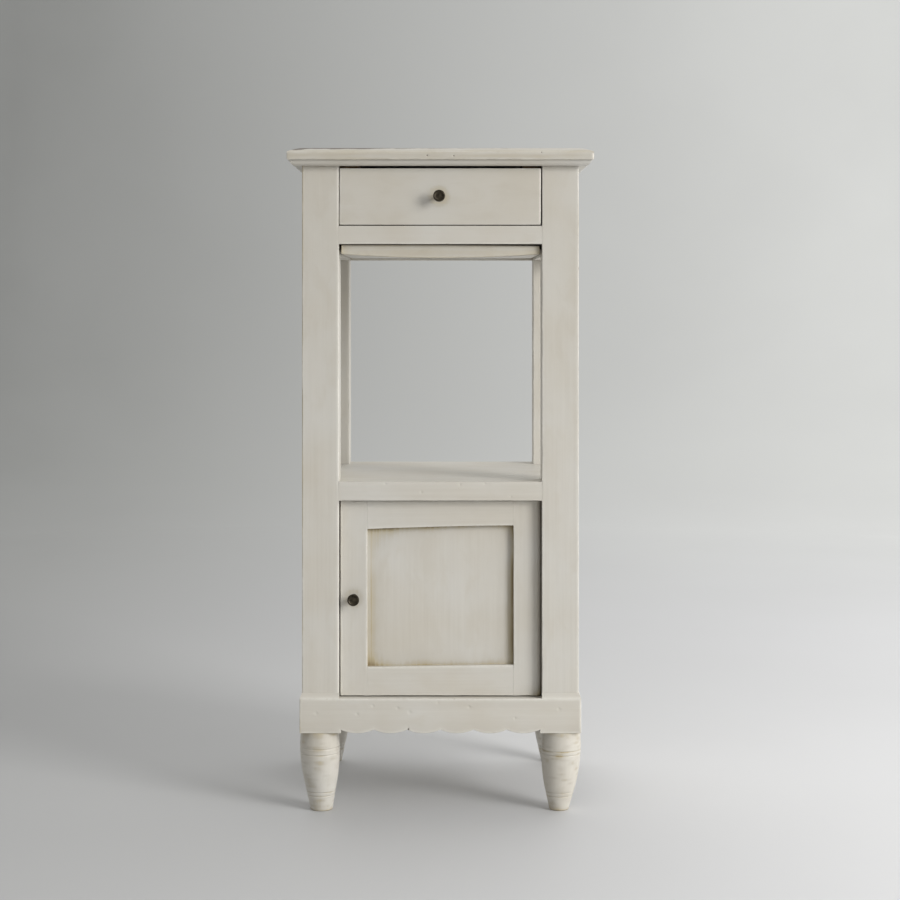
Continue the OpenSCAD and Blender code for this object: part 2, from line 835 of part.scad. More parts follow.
module drawer_front() {
  color(paint) difference() {
    box([-drawer_half, front, drawer_front_z],
        [drawer_half, drawer_front_back, drawer_front_z + drawer_front_h]);
    both_sides() along_x(drawer_inner - glue_gap, drawer_half + past)
      tails(front_tails, drawer_front_back, -tail_len, drawer_z, drawer_side_h, glue_gap);
    drawer_bottom_groove();
    turned_forwards([drawer_knob_x, drawer_front_back + past, drawer_knob_z])
      square([knob_screw_d / 2 + hole_gap, drawer_front_t + 2 * past]);
  }
}

module drawer_side(side) {
  color(bare_wood) on_side(side) difference() {
    union() {
      box([drawer_inner, drawer_front_back, drawer_z], [drawer_half, drawer_rear, drawer_side_top]);
      along_x(drawer_inner, drawer_half)
        tails(front_tails, drawer_front_back, -tail_len, drawer_z, drawer_side_h, 0);
    }
    drawer_bottom_groove();
    along_x(drawer_inner - past, drawer_half + past) difference() {
      translate([drawer_back_front, drawer_back_z])
        square([drawer_side_t + past, drawer_back_h]);
      tails(rear_tails, drawer_back_front, drawer_side_t + past, drawer_back_z, drawer_back_h, 0);
    }
  }
}

module drawer_back() {
  color(bare_wood) difference() {
    box([-drawer_half, drawer_back_front, drawer_back_z],
        [drawer_half, drawer_rear, drawer_back_z + drawer_back_h]);
    both_sides() along_x(drawer_inner - glue_gap, drawer_half + past)
      tails(rear_tails, drawer_back_front, drawer_side_t + past, drawer_back_z, drawer_back_h,
        glue_gap);
  }
}

module drawer_bottom() {
  color(bare_wood)
    box([-drawer_inner - drawer_groove + glue_gap, drawer_front_back - drawer_groove + glue_gap,
         drawer_bottom_z],
        [drawer_inner + drawer_groove - glue_gap, drawer_rear, drawer_back_z]);
}

// The slide is a thin board with a bowed nosing; two pegs stop it
module peg_places() {
  both_sides() translate([peg_x, peg_y, slide_top_z - peg_in]) children();
}

module slide_board() {
  color(paint) difference() {
    union() {
      box([-slide_half, slide_board_front, slide_z], [slide_half, slide_rear, slide_top_z]);
      box([-nosing_tongue_x, slide_board_front - nosing_tongue, slide_tongue_z],
          [nosing_tongue_x, slide_board_front, slide_tongue_z + slide_tongue_h]);
    }
    both_sides() box(
      [slide_tongue_x - slide_tongue_gap, slide_board_front - past,
       slide_tongue_z - slide_tongue_gap],
      [slide_half + past, slide_rear + past, slide_tongue_z + slide_tongue_h + slide_tongue_gap]);
    peg_places() translate([0, 0, -end_gap])
      cylinder(d = peg_d + 2 * hole_gap, h = end_gap + peg_in + past);
  }
}

module slide_nosing() {
  color(paint) difference() {
    intersection() {
      along_y(slide_front, slide_board_front) intersection() {
        translate([-slide_half, nosing_low_z])
          square([2 * slide_half, nosing_top_z - nosing_low_z]);
        translate([0, nosing_low_z + bow_r]) circle(bow_r, $fn = 360);
      }
      along_x(-slide_half, slide_half) union() {
        translate([slide_front, nosing_low_z])
          square([nosing_d, nosing_top_z - nosing_low_z - nosing_round]);
        translate([slide_front + nosing_round, nosing_top_z - nosing_round]) circle(nosing_round);
        translate([slide_front + nosing_round, nosing_top_z - nosing_round])
          square([nosing_d - nosing_round, nosing_round]);
      }
    }
    box([-nosing_tongue_x - glue_gap, slide_board_front - nosing_tongue - glue_gap,
         slide_tongue_z - glue_gap],
        [nosing_tongue_x + glue_gap, slide_board_front + past,
         slide_tongue_z + slide_tongue_h + glue_gap]);
  }
}

module slide_stop_pegs() {
  color(bare_wood) peg_places() cylinder(d = peg_d, h = peg_in + slide_gap_above - peg_gap);
}

// The door is framed; its hinge stile is rounded about the pivots
module door_mortises() {
  for (z = [[door_z + door_tenon_shoulder, panel_z - panel_in],
            [panel_top + panel_in, door_top - door_tenon_shoulder]])
    box([stile_in - past, panel_front, z[0]],
        [stile_in + door_tenon_len + end_gap, panel_back, z[1]]);
}

module door_panel_groove() {
  box([-stile_in - panel_in, panel_front, panel_z - panel_in],
      [stile_in + panel_in, panel_back, panel_top + panel_in]);
}

module door_stile_left() {
  color(paint) difference() {
    box([-door_half, door_front, door_z], [-stile_in, door_back, door_top]);
    mirror([1, 0, 0]) door_mortises();
    door_panel_groove();
    turned_forwards([door_knob_x, door_back + past, door_mid_z])
      square([knob_screw_d / 2 + hole_gap, door_t + 2 * past]);
    catch_place() translate([0, 0, -past])
      cylinder(d = catch_d + 2 * hole_gap, h = past + catch_len + end_gap);
  }
}

module door_stile_right() {
  color(paint) difference() {
    union() {
      box([stile_in, door_front, door_z], [pivot_x, door_back, door_top]);
      translate([pivot_x, pivot_y, door_z]) cylinder(r = edge_r, h = door_top - door_z);
    }
    door_mortises();
    door_panel_groove();
    for (z = [door_z - past, door_top - pivot_in_door - end_gap])
      translate([pivot_x, pivot_y, z])
        cylinder(d = pivot_d + 2 * pivot_play, h = past + pivot_in_door + end_gap);
  }
}

module door_rail(z0, z1, tenon_z0, tenon_z1) {
  color(paint) difference() {
    union() {
      box([-stile_in, door_front, z0], [stile_in, door_back, z1]);
      box([-stile_in - door_tenon_len, panel_front, tenon_z0],
          [stile_in + door_tenon_len, panel_back, tenon_z1]);
    }
    door_panel_groove();
  }
}

module door_rail_top() {
  door_rail(panel_top, door_top, panel_top + panel_in, door_top - door_tenon_shoulder);
}

module door_rail_bottom() {
  door_rail(door_z, panel_z, door_z + door_tenon_shoulder, panel_z - panel_in);
}

module door_panel() {
  reach = panel_in - panel_float;
  color(paint) box([-stile_in - reach, panel_front, panel_z - reach],
                   [stile_in + reach, panel_back, panel_top + reach]);
}

module door_stop() {
  z = sill_z + (door_open_h - door_stop_h) / 2;
  y = door_back + door_stop_gap;
  color(paint) box([-half_open, y, z], [-half_open + door_stop_w, y + door_stop_d, z + door_stop_h]);
}

// Steel pins above and below carry the door, on a washer
module door_pivots() {
  color(steel) {
    translate([pivot_x, pivot_y, sill_z - pivot_in_frame])
      cylinder(d = pivot_d, h = pivot_in_frame + door_gap + pivot_in_door);
    translate([pivot_x, pivot_y, door_top - pivot_in_door])
      cylinder(d = pivot_d, h = pivot_in_door + door_gap + pivot_in_frame);
    translate([pivot_x, pivot_y, sill_z]) rotate_extrude()
      translate([pivot_d / 2 + pivot_play, 0])
        square([(washer_d - pivot_d) / 2 - pivot_play, washer_t]);
  }
}

// A ball catch in the edge of the door snaps into a plate on the post
module catch_place() {
  translate([-door_half, pivot_y, catch_z]) rotate([0, 90, 0]) children();
}

module ball_catch() {
  color(brass) {
    catch_place() difference() {
      cylinder(d = catch_d, h = catch_len);
      translate([0, 0, -past]) cylinder(d = ball_d + 2 * hole_gap, h = past + catch_len - catch_end_t);
    }
    translate([ball_x, pivot_y, catch_z]) sphere(d = ball_d);
  }
}

module strike_plate(thickness) {
  translate([-half_open - thickness, pivot_y - strike_w / 2, catch_z - strike_len / 2])
    cube([thickness, strike_w, strike_len]);
}

module catch_strike() {
  color(brass) difference() {
    strike_plate(strike_t);
    translate([-half_open - strike_t - past, pivot_y, catch_z]) rotate([0, 90, 0])
      cylinder(d = strike_hole_d, h = strike_t + 2 * past);
  }
}

// Knobs are turned, screwed from the inside
module turned_forwards(place) {
  translate(place) rotate([90, 0, 0]) rotate_extrude() children();
}

module knob(place) {
  head_r = knob_d / 2;
  rim = 1;
  color(bronze) turned_forwards(place) difference() {
    polygon([
      [0, 0],
      [knob_foot_d / 2, 0],
      [knob_foot_d / 2, knob_foot_t],
      [knob_neck_d / 2, knob_foot_t + rim],
      [knob_neck_d / 2, knob_len - knob_head_t - 2 * rim],
      [head_r - rim, knob_len - knob_head_t],
      [head_r, knob_len - knob_head_t + rim],
      [head_r, knob_len - rim],
      [head_r - rim, knob_len],
      [head_r - 2 * rim, knob_len - knob_dish],
      [rim, knob_len - knob_dish],
      [0, knob_len - knob_dish / 2]
    ]);
    translate([0, -past]) square([knob_screw_d / 2 + hole_gap, past + knob_screw_in + end_gap]);
  }
}

module knob_screw(place, wall) {
  color(steel) turned_forwards(place) union() {
    translate([0, -screw_head_t]) square([screw_head_d / 2, screw_head_t]);
    translate([0, -screw_head_t / 2])
      square([knob_screw_d / 2, screw_head_t / 2 + wall + knob_screw_in]);
  }
}

top_board();
moulding_front();
moulding_side(-1);  // moulding_left
moulding_side(1);  // moulding_right
post_front(-1);  // post_front_left
post_front(1);  // post_front_right
post_rear(-1);  // post_rear_left
post_rear(1);  // post_rear_right
foot(-1, foot_front_y);  // foot_front_left
foot(1, foot_front_y);  // foot_front_right
foot(-1, foot_rear_y);  // foot_rear_left
foot(1, foot_rear_y);  // foot_rear_right
plinth_front();
plinth_side(-1);  // plinth_left
plinth_side(1);  // plinth_right
plinth_back();
glue_blocks();
cupboard_floor();
side_panel(-1, sill_z, shelf_under_z);  // lower_side_left
side_panel(1, sill_z, shelf_under_z);  // lower_side_right
lower_back();
shelf_front_rail();
shelf_side_rail(-1);  // shelf_side_rail_left
shelf_side_rail(1);  // shelf_side_rail_right
shelf_back_rail();
shelf_board();
side_panel(-1, panels_z, top_z);  // upper_side_left
side_panel(1, panels_z, top_z);  // upper_side_right
upper_back();
drawer_rail();
runner(-1);  // runner_left
runner(1);  // runner_right
kickers();
kicker_screws();
drawer_stops();
slide_rail(-1);  // slide_rail_left
slide_rail(1);  // slide_rail_right
top_dowels();
door_stop();
door_pivots();
catch_strike();
drawer_front();
drawer_side(-1);  // drawer_side_left
drawer_side(1);  // drawer_side_right
drawer_back();
drawer_bottom();
knob([drawer_knob_x, front, drawer_knob_z]);  // drawer_knob
knob_screw([drawer_knob_x, drawer_front_back, drawer_knob_z], drawer_front_t);  // drawer_knob_screw
slide_board();
slide_nosing();
slide_stop_pegs();
door_stile_left();
door_stile_right();
door_rail_top();
door_rail_bottom();
door_panel();
knob([door_knob_x, door_front, door_mid_z]);  // door_knob
knob_screw([door_knob_x, door_back, door_mid_z], door_t);  // door_knob_screw
ball_catch();
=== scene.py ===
import math
from functools import cache

import bmesh
import bpy
import numpy as np
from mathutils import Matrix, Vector, noise


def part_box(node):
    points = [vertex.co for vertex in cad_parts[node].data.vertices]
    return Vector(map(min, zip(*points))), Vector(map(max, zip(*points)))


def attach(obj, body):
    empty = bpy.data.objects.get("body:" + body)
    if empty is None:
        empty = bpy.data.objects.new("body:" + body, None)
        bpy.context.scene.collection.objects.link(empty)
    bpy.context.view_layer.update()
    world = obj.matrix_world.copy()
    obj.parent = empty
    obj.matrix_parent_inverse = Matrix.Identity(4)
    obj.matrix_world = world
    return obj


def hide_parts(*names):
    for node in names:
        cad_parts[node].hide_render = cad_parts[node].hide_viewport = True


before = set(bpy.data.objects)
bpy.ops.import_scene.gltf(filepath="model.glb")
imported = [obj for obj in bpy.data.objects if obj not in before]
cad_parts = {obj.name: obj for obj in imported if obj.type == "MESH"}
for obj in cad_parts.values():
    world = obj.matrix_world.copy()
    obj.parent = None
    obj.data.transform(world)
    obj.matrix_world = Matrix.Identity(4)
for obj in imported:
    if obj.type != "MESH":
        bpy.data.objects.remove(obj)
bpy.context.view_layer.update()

# Posts
# Four square pine posts run from the feet to the top; rails and panels are let into them and
# glued. They were planed by hand, and their corners are rounded over and rubbed by use. The
# paint was brushed on along the wood, in more than one coat.
mm = 0.001
front_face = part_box("post_front_left")[0].y
post_inner_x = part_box("post_front_right")[0].x
post_outer_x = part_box("post_front_right")[1].x
plinth_top_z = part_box("plinth_left")[1].z
shelf_low_z, shelf_top_z = (corner.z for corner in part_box("shelf_front_rail"))
rail_low_z, rail_top_z = (corner.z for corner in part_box("drawer_rail"))

# Colours of the paint, of its wear and dirt, and of its painted highlights and shade
PAINT = (0.605, 0.587, 0.545)
PAINT_WARM = (0.565, 0.53, 0.464)
PAINT_PALER = (0.74, 0.72, 0.668)
PAINT_GREYED = (0.86, 0.85, 0.83)
PAINT_YELLOWED = (0.94, 0.86, 0.66)
UNDERCOAT = (0.36, 0.29, 0.19)
BARE_DARK = (0.085, 0.06, 0.04)
SOIL_AND_SHADE = (0.235, 0.175, 0.09)
# How often brush marks come in a metre, across and along the brush
STROKES_PER_M = (300.0, 7.0)
HAIRS_PER_M = (1100.0, 26.0)
DABS_PER_M = (52.0, 21.0)

# Corners at a joint keep only this share of their rounding; deeper dents break the paint
TIGHT = 0.12
DEEP_DENT = 0.65 * mm
DENT_STEPS = (-1, -0.6, -0.3, 0, 0.3, 0.6, 1)
FACE_REACH = 0.05 * mm
CORNER_ANGLE = math.radians(20)
CREASE_ANGLE = math.radians(38)


def wire(tree, kind, inputs=None, **settings):
    """Adds a shader node; its inputs are numbers, colours or the sockets that feed them."""
    made = tree.nodes.new("ShaderNode" + kind)
    for key, value in settings.items():
        setattr(made, key, value)
    for key, value in (inputs or {}).items():
        if isinstance(value, bpy.types.NodeSocket):
            tree.links.new(value, made.inputs[key])
        else:
            made.inputs[key].default_value = value
    return made


def calc(tree, operation, first, second, clamp=False):
    """One sum on two numbers or sockets."""
    return wire(tree, "Math", {0: first, 1: second}, operation=operation, use_clamp=clamp).outputs[0]


def spread(tree, value, low, high, to_low=0.0, to_high=1.0):
    """Stretches a value from one range to another and holds it there."""
    return wire(tree, "MapRange", {
        "Value": value, "From Min": low, "From Max": high, "To Min": to_low, "To Max": to_high,
    }).outputs["Result"]


def blend_colours(tree, share, first, second, how="MIX"):
    """Mixes two colours, each a socket or three numbers."""
    colours = [c if isinstance(c, bpy.types.NodeSocket) else (*c, 1.0) for c in (first, second)]
    mixed = wire(tree, "Mix", {0: share, 6: colours[0], 7: colours[1]},
                 data_type="RGBA", blend_type=how)
    return mixed.outputs[2]


def object_place(tree):
    """Coordinates that stay with the piece."""
    return wire(tree, "TexCoord").outputs["Object"]


def grain_space(tree, along, across_scale, along_scale):
    """Coordinates that are stretched along one axis, as brush marks and wood grain are."""
    stretch = [along_scale if axis == along else across_scale for axis in "XYZ"]
    return wire(tree, "Mapping", {"Vector": object_place(tree), "Scale": stretch}).outputs["Vector"]


def cloudy(tree, place, scale=1.0, detail=2.0, roughness=0.5, distortion=0.0):
    """Soft noise around one half, at so many spots a metre."""
    return wire(tree, "TexNoise", {
        "Vector": place, "Scale": scale, "Detail": detail, "Roughness": roughness,
        "Distortion": distortion,
    }).outputs["Fac"]


def relief(tree, shader, height, strength, depth):
    """Lets a height roughen the surface."""
    bump = wire(tree, "Bump", {"Height": height, "Strength": strength, "Distance": depth})
    tree.links.new(bump.outputs["Normal"], shader.inputs["Normal"])


def new_finish(name):
    """An empty material, with its nodes and its shader."""
    material = bpy.data.materials.new(name)
    material.use_nodes = True
    return material, material.node_tree, material.node_tree.nodes["Principled BSDF"]


@cache
def painted(along):
    """Old off-white oil paint, brushed along one axis: streaks, tone patches, rubs and soil, with
    painted highlights on the corners and painted shade in creases and corners.
    """
    material, tree, shader = new_finish("off_white_paint_" + along)
    place = object_place(tree)
    strokes = cloudy(tree, grain_space(tree, along, *STROKES_PER_M), detail=3.0, roughness=0.6)
    hairs = cloudy(tree, grain_space(tree, along, *HAIRS_PER_M))
    dabs = cloudy(tree, grain_space(tree, along, *DABS_PER_M), detail=4.0, distortion=0.5)
    patches = cloudy(tree, place, 9.0, detail=4.0)
    flecks = cloudy(tree, place, 95.0, detail=5.0, roughness=0.65)
    specks = cloudy(tree, place, 420.0, detail=3.0)
    arris, soil, chip = [wire(tree, "Attribute", attribute_name=name).outputs["Fac"]
                         for name in ("arris", "soil", "chip")]

    # Brushed streaks and patches of a warmer coat
    tone = blend_colours(tree, spread(tree, patches, 0.35, 0.68), PAINT, PAINT_WARM)
    tone = blend_colours(tree, spread(tree, strokes, 0.3, 0.72, 0.0, 0.2), tone, PAINT_PALER)
    tone = blend_colours(tree, spread(tree, hairs, 0.3, 0.45, 0.1, 0.0), tone, PAINT_WARM)
    tone = blend_colours(tree, spread(tree, dabs, 0.54, 0.72, 0.0, 0.5), tone, PAINT_WARM)

    # Corners are rubbed paler, partly as a painted highlight, and here and there through to the wood
    rub_and_highlight = calc(tree, "MULTIPLY", arris, spread(tree, flecks, 0.3, 0.55, 0.3, 1.0), clamp=True)
    tone = blend_colours(tree, calc(tree, "MULTIPLY", rub_and_highlight, 0.8), tone, PAINT_PALER)
    through = calc(tree, "ADD", calc(tree, "MULTIPLY", arris, 0.62), flecks)
    tone = blend_colours(tree, spread(tree, through, 1.2, 1.24, 0.0, 0.7), tone, UNDERCOAT)
    tone = blend_colours(tree, spread(tree, through, 1.27, 1.3, 0.0, 0.8), tone, BARE_DARK)

    # Dirt greys the paint, then yellows it where it stays for long, and browns it in corners.
    # Painted shade takes the same steps: ambient occlusion darkens creases and corners, and the soil
    # values of some pieces are painted shade.
    # Painted shade: the occlusion darkens creases and corners
    crevice = wire(tree, "AmbientOcclusion", {"Distance": 4 * mm}, samples=4).outputs["AO"]
    crease_shade = spread(tree, crevice, 0.7, 0.3, 0.0, 0.24)
    dirt_and_shade = calc(tree, "ADD", soil, calc(tree, "MULTIPLY", crease_shade, spread(tree, flecks, 0.3, 0.65)))
    ragged = calc(tree, "ADD", strokes, calc(tree, "MULTIPLY", dabs, 0.6))
    dirt_and_shade = calc(tree, "MULTIPLY", dirt_and_shade, spread(tree, ragged, 0.6, 0.95, 0.55, 1.15), clamp=True)
    tone = blend_colours(tree, spread(tree, dirt_and_shade, 0.0, 0.2), tone, PAINT_GREYED, "MULTIPLY")
    tone = blend_colours(tree, spread(tree, dirt_and_shade, 0.12, 0.5), tone, PAINT_YELLOWED, "MULTIPLY")
    tone = blend_colours(tree, spread(tree, dirt_and_shade, 0.38, 1.0, 0.0, 0.88), tone, SOIL_AND_SHADE)
    fly = calc(tree, "MULTIPLY", spread(tree, specks, 0.73, 0.76), 0.4)
    tone = blend_colours(tree, fly, tone, UNDERCOAT)
    bare = calc(tree, "ADD", chip, calc(tree, "MULTIPLY", calc(tree, "SUBTRACT", flecks, 0.5), 0.9))
    tone = blend_colours(tree, spread(tree, bare, 0.3, 0.75, 0.0, 0.88), tone, BARE_DARK)
    tree.links.new(tone, shader.inputs["Base Color"])

    sheen = spread(tree, ragged, 0.6, 1.0, 0.36, 0.5)
    tree.links.new(calc(tree, "ADD", sheen, calc(tree, "MULTIPLY", dirt_and_shade, 0.25)),
                   shader.inputs["Roughness"])
    height = calc(tree, "MULTIPLY", strokes, 0.8)
    for part, share in ((hairs, 0.35), (flecks, 0.6), (dabs, 1.2)):
        height = calc(tree, "ADD", height, calc(tree, "MULTIPLY", part, share))
    height = calc(tree, "SUBTRACT", height, spread(tree, through, 1.2, 1.24, 0.0, 0.8))
    height = calc(tree, "ADD", height, spread(tree, specks, 0.7, 0.76, 0.0, 0.7))
    relief(tree, shader, height, 0.45, 0.16 * mm)
    shader.inputs["Specular IOR Level"].default_value = 0.5
    return material


def cuts_between(low, high, ease, rub, pitch):
    """Places of the mesh lines along one axis: close at the two corners, then evenly apart."""
    edge = [0.42 * ease, ease, min(ease + rub, 0.3 * (high - low))]
    steps = max(1, round((high - low - 2 * edge[2]) / pitch))
    run = (high - low - 2 * edge[2]) / steps
    middle = [low + edge[2] + i * run for i in range(steps + 1)]
    return sorted([low + d for d in edge[:2]] + middle + [high - d for d in edge[:2]])


def distance_to_lines(points, starts, ends):
    """Distance of each point from the nearest of the straight lines."""
    nearest = np.full(len(points), 1.0)
    for start, end in zip(starts, ends):
        run = end - start
        share = np.clip(((points - start) @ run) / (run @ run), 0.0, 1.0)
        gap = np.linalg.norm(points - start - share[:, None] * run, axis=1)
        nearest = np.minimum(nearest, gap)
    return nearest


def middle_of(edge):
    """The middle of a mesh edge."""
    return (edge.verts[0].co + edge.verts[1].co) / 2


def solid_mesh(node):
    """A node's solid as a mesh whose flat faces are whole."""
    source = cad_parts[node].data
    bm = bmesh.new()
    corners = [bm.verts.new(v.co) for v in source.vertices]
    for face in source.polygons:
        bm.faces.new([corners[i] for i in face.vertices])
    bmesh.ops.remove_doubles(bm, verts=bm.verts, dist=0.01 * mm)
    bmesh.ops.dissolve_limit(bm, angle_limit=math.radians(0.6), verts=bm.verts, edges=bm.edges)
    return bm


def outer_edges(bm, low, high, soften):
    """The edges that tools and hands reach: where two outer faces meet, or where soften says so."""
    def outer_faces(point):
        """On how many of the six outer faces a point lies."""
        return sum(abs(point[i] - low[i]) < FACE_REACH or abs(high[i] - point[i]) < FACE_REACH
                   for i in range(3))

    proud = [e for e in bm.edges
             if len(e.link_faces) == 2 and e.calc_face_angle_signed() > CORNER_ANGLE]
    return [e for e in proud if outer_faces(middle_of(e)) > 1 or (soften and soften(e))]


def cut_across(bm, places):
    """Cuts the faces at the places along each axis, so that they can bend and wear."""
    for i in sorted(range(3), key=lambda axis: -len(places[axis])):
        normal = Vector((0, 0, 0))
        normal[i] = 1
        for place in places[i]:
            bmesh.ops.bisect_plane(bm, geom=bm.verts[:] + bm.edges[:] + bm.faces[:],
                                   dist=0.002 * mm, plane_co=normal * place, plane_no=normal)


def by_hand(rest, low, high, ease, rounding, swell):
    """Where a point of the flat solid goes: round the corner, and in or out with the uneven face.
    The second value is the way out of the wood."""
    core = Vector(min(max(rest[i], low[i] + ease), high[i] - ease) for i in range(3))
    out = rest - core
    way_out = out.normalized()
    if max(abs(d) for d in out) <= 0.98 * ease:
        return rest.copy(), way_out
    share = (0.75 + 0.5 * noise.noise(rest * 60)) * rounding
    wave = 0.5 + 0.4 * noise.noise(rest * 8) + 0.25 * noise.noise(rest * 31)
    return rest.lerp(core + way_out * ease, min(share, 1.0)) - way_out * swell * wave, way_out


def piece_from(bm, name, crease=None):
    """An object of the scene from a finished mesh: smooth, but sharp at edges over the crease."""
    piece = bpy.data.objects.new(name, bpy.data.meshes.new(name))
    bm.to_mesh(piece.data)
    bm.free()
    piece.data.shade_smooth()
    if crease:
        piece.data.set_sharp_from_angle(angle=crease)
    bpy.context.scene.collection.objects.link(piece)
    return piece


def store(piece, name, values):
    """Keeps a number for each point of a piece, for its finish to read."""
    layer = piece.data.attributes.new(name, "FLOAT", "POINT")
    layer.data.foreach_set("value", np.asarray(values, dtype=np.float32))


def planed(node, ease=1.2 * mm, rub=2.2 * mm, pitch=12 * mm, rounded=1.0, bend=None, soil=0.0,
           wear=1.0, bare=0.0, dents=(), lines=(), soften=None, swell=0.16 * mm):
    """A piece of wood as a hand tool leaves it, made from its solid: corners rounded over by ease,
    faces not quite flat, dents, and at each point how rubbed paler it is (partly a painted
    highlight), how dirty it is and how much painted shade it carries, and how bare it is. Rounded,
    soil, wear and bare are numbers or functions of the point. Lines are
    extra mesh lines, pairs of axis and place, where a bend or the dirt and shade need them."""
    low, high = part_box(node)
    bm = solid_mesh(node)
    edges = outer_edges(bm, low, high, soften)
    starts = [np.array(e.verts[0].co) for e in edges]
    ends = [np.array(e.verts[1].co) for e in edges]
    if soften:
        bmesh.ops.bevel(bm, geom=[e for e in edges if soften(e)], offset=0.7 * ease, segments=3,
                        profile=0.5, affect="EDGES", clamp_overlap=True)

    places = [cuts_between(low[i], high[i], ease, rub, pitch) for i in range(3)]
    for axis, place in lines:
        places[axis].append(place)
    for place, radius, depth in dents:
        for i in range(3):
            if low[i] + radius < place[i] < high[i] - radius:
                places[i] += [place[i] + radius * share for share in DENT_STEPS]
    cut_across(bm, places)
    flat_points = np.array([v.co for v in bm.verts])

    def at_points(measure):
        """What a number or a function says at each point."""
        if callable(measure):
            return np.array([measure(Vector(p)) for p in flat_points])
        return np.full(len(flat_points), measure)

    rounding = at_points(rounded)
    # Rubbed paler near the corners, partly as a painted highlight
    rubs_and_highlights = np.clip(1 - distance_to_lines(flat_points, starts, ends) / (ease + rub), 0, 1)
    rubs_and_highlights *= at_points(wear) * rounding
    chips = at_points(bare)
    for number, v in enumerate(bm.verts):
        rest = v.co.copy()
        v.co, way_out = by_hand(rest, low, high, ease, rounding[number], swell)
        for place, radius, depth in dents:
            near = (rest - Vector(place)).length / radius
            if near < 1:
                bowl = (1 - near * near) ** 2
                v.co -= way_out * depth * bowl
                chips[number] = max(chips[number], bowl if depth > DEEP_DENT else 0.0)
        if bend:
            v.co = bend(v.co, rest)

    piece = piece_from(bm, "worked_" + node, CREASE_ANGLE)
    for name, values in (("arris", rubs_and_highlights), ("soil", at_points(soil)), ("chip", chips)):
        store(piece, name, values)
    return piece


def fit(piece, material, node, body):
    """Gives a worked piece its finish and puts it in its node's place."""
    piece.data.materials.append(material)
    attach(piece, body)
    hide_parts(node)


def painted_board(node, along, body="cabinet", **worked):
    """A worked and painted piece in its node's place; worked is what planed asks for."""
    fit(planed(node, **worked), painted(along), node, body)


def between(value, low, high):
    """Whether a value lies between two others."""
    return low <= value <= high


def share_between(value, start, end):
    """How far a value has gone from start to end, held between 0 and 1."""
    return min(max((value - start) / (end - start), 0.0), 1.0)


def band(distance, width):
    """Fades from one at an edge to nothing over about twice the width."""
    return math.exp(-max(distance, 0.0) / width)


def post_corner(point):
    """The posts' inner corners stay sharp where a rail meets them, so that the joint is tight."""
    inside = abs(point.x) < post_inner_x + 3 * mm
    at_rail = (between(point.z, rail_low_z, rail_top_z)
               or between(point.z, shelf_low_z, shelf_top_z) or point.z < plinth_top_z)
    return TIGHT if inside and at_rail else 1.0


def post_soil(point):
    """The posts' outer front corners are darkened: at the left as painted shade, where the rounding
    turns away from the light, and faintly at the right. The posts are also greyer towards the top."""
    # Painted shade on the left outer corner, a faint darkening on the right
    corner_shade = 0.75 if point.x < 0 else 0.2
    at_edge = band(post_outer_x - abs(point.x), 0.9 * mm) * band(point.y - front_face, 3 * mm)
    greyed = 0.09 * share_between(point.z, shelf_top_z, rail_low_z)
    return greyed + corner_shade * at_edge * (0.6 + 0.8 * noise.noise(point * 25))


outer_lines = [(0, way * (post_outer_x - d * mm)) for way in (-1, 1) for d in (0.9, 1.8, 3.0)]
for side in ("left", "right"):
    for row in ("front", "rear"):
        painted_board("post_" + row + "_" + side, "Z", ease=1.5 * mm, rounded=post_corner,
                      soil=post_soil, lines=outer_lines if row == "front" else ())

# Feet
# Each foot is turned from one piece of pine: a straight taper above the toe, a long round belly,
# and two pairs of fine lines cut with the point of a skew. A spigot glued into the post holds it.
# They were turned by eye, so no two are quite alike, and the front ones lean in at the toe.
foot_low, foot_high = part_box("foot_front_left")
foot_top_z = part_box("post_front_left")[0].z
foot_belly_r = (foot_high.x - foot_low.x) / 2
FOOT_BELLY_Z = 78 * mm
FOOT_CURVE_R = 220 * mm
FOOT_TOE_ROUND = 1.6 * mm
FOOT_LINE_DEPTH = 0.5 * mm
FOOT_LINE_WIDTH = 0.7 * mm
FOOT_HOLLOWS = 0.3 * mm
SPIGOT_R = 9 * mm
TURNED_STEPS = 96
TURNED_CREASE = math.radians(50)
FOOT_TOE_R = {"front_left": 13.9 * mm, "front_right": 12.1 * mm,
              "rear_left": 12.8 * mm, "rear_right": 12.8 * mm}
FOOT_LEAN = {"front_left": 2.2 * mm, "front_right": -2.8 * mm,
             "rear_left": 0.6 * mm, "rear_right": -0.6 * mm}
FOOT_LINES_Z = {"front_left": (79.4 * mm, 71.8 * mm, 24.0 * mm, 19.4 * mm),
                "front_right": (76.3 * mm, 71.2 * mm, 23.2 * mm, 18.2 * mm),
                "rear_left": (76.5 * mm, 71.5 * mm, 23.0 * mm, 18.0 * mm),
                "rear_right": (76.5 * mm, 71.5 * mm, 23.0 * mm, 18.0 * mm)}


def foot_radius(z, toe_r):
    """Radius of a foot at a height: the taper runs into the curve of the belly as a tangent."""
    axis_r = foot_belly_r - FOOT_CURVE_R
    reach = math.hypot(toe_r - axis_r, FOOT_BELLY_Z)
    turn = math.acos(FOOT_CURVE_R / reach) - math.atan2(FOOT_BELLY_Z, toe_r - axis_r)
    taper_z = FOOT_BELLY_Z + FOOT_CURVE_R * math.sin(turn)
    if z < taper_z:
        taper_r = axis_r + FOOT_CURVE_R * math.cos(turn)
        return toe_r + (taper_r - toe_r) * z / taper_z
    return axis_r + math.sqrt(FOOT_CURVE_R ** 2 - (z - FOOT_BELLY_Z) ** 2)


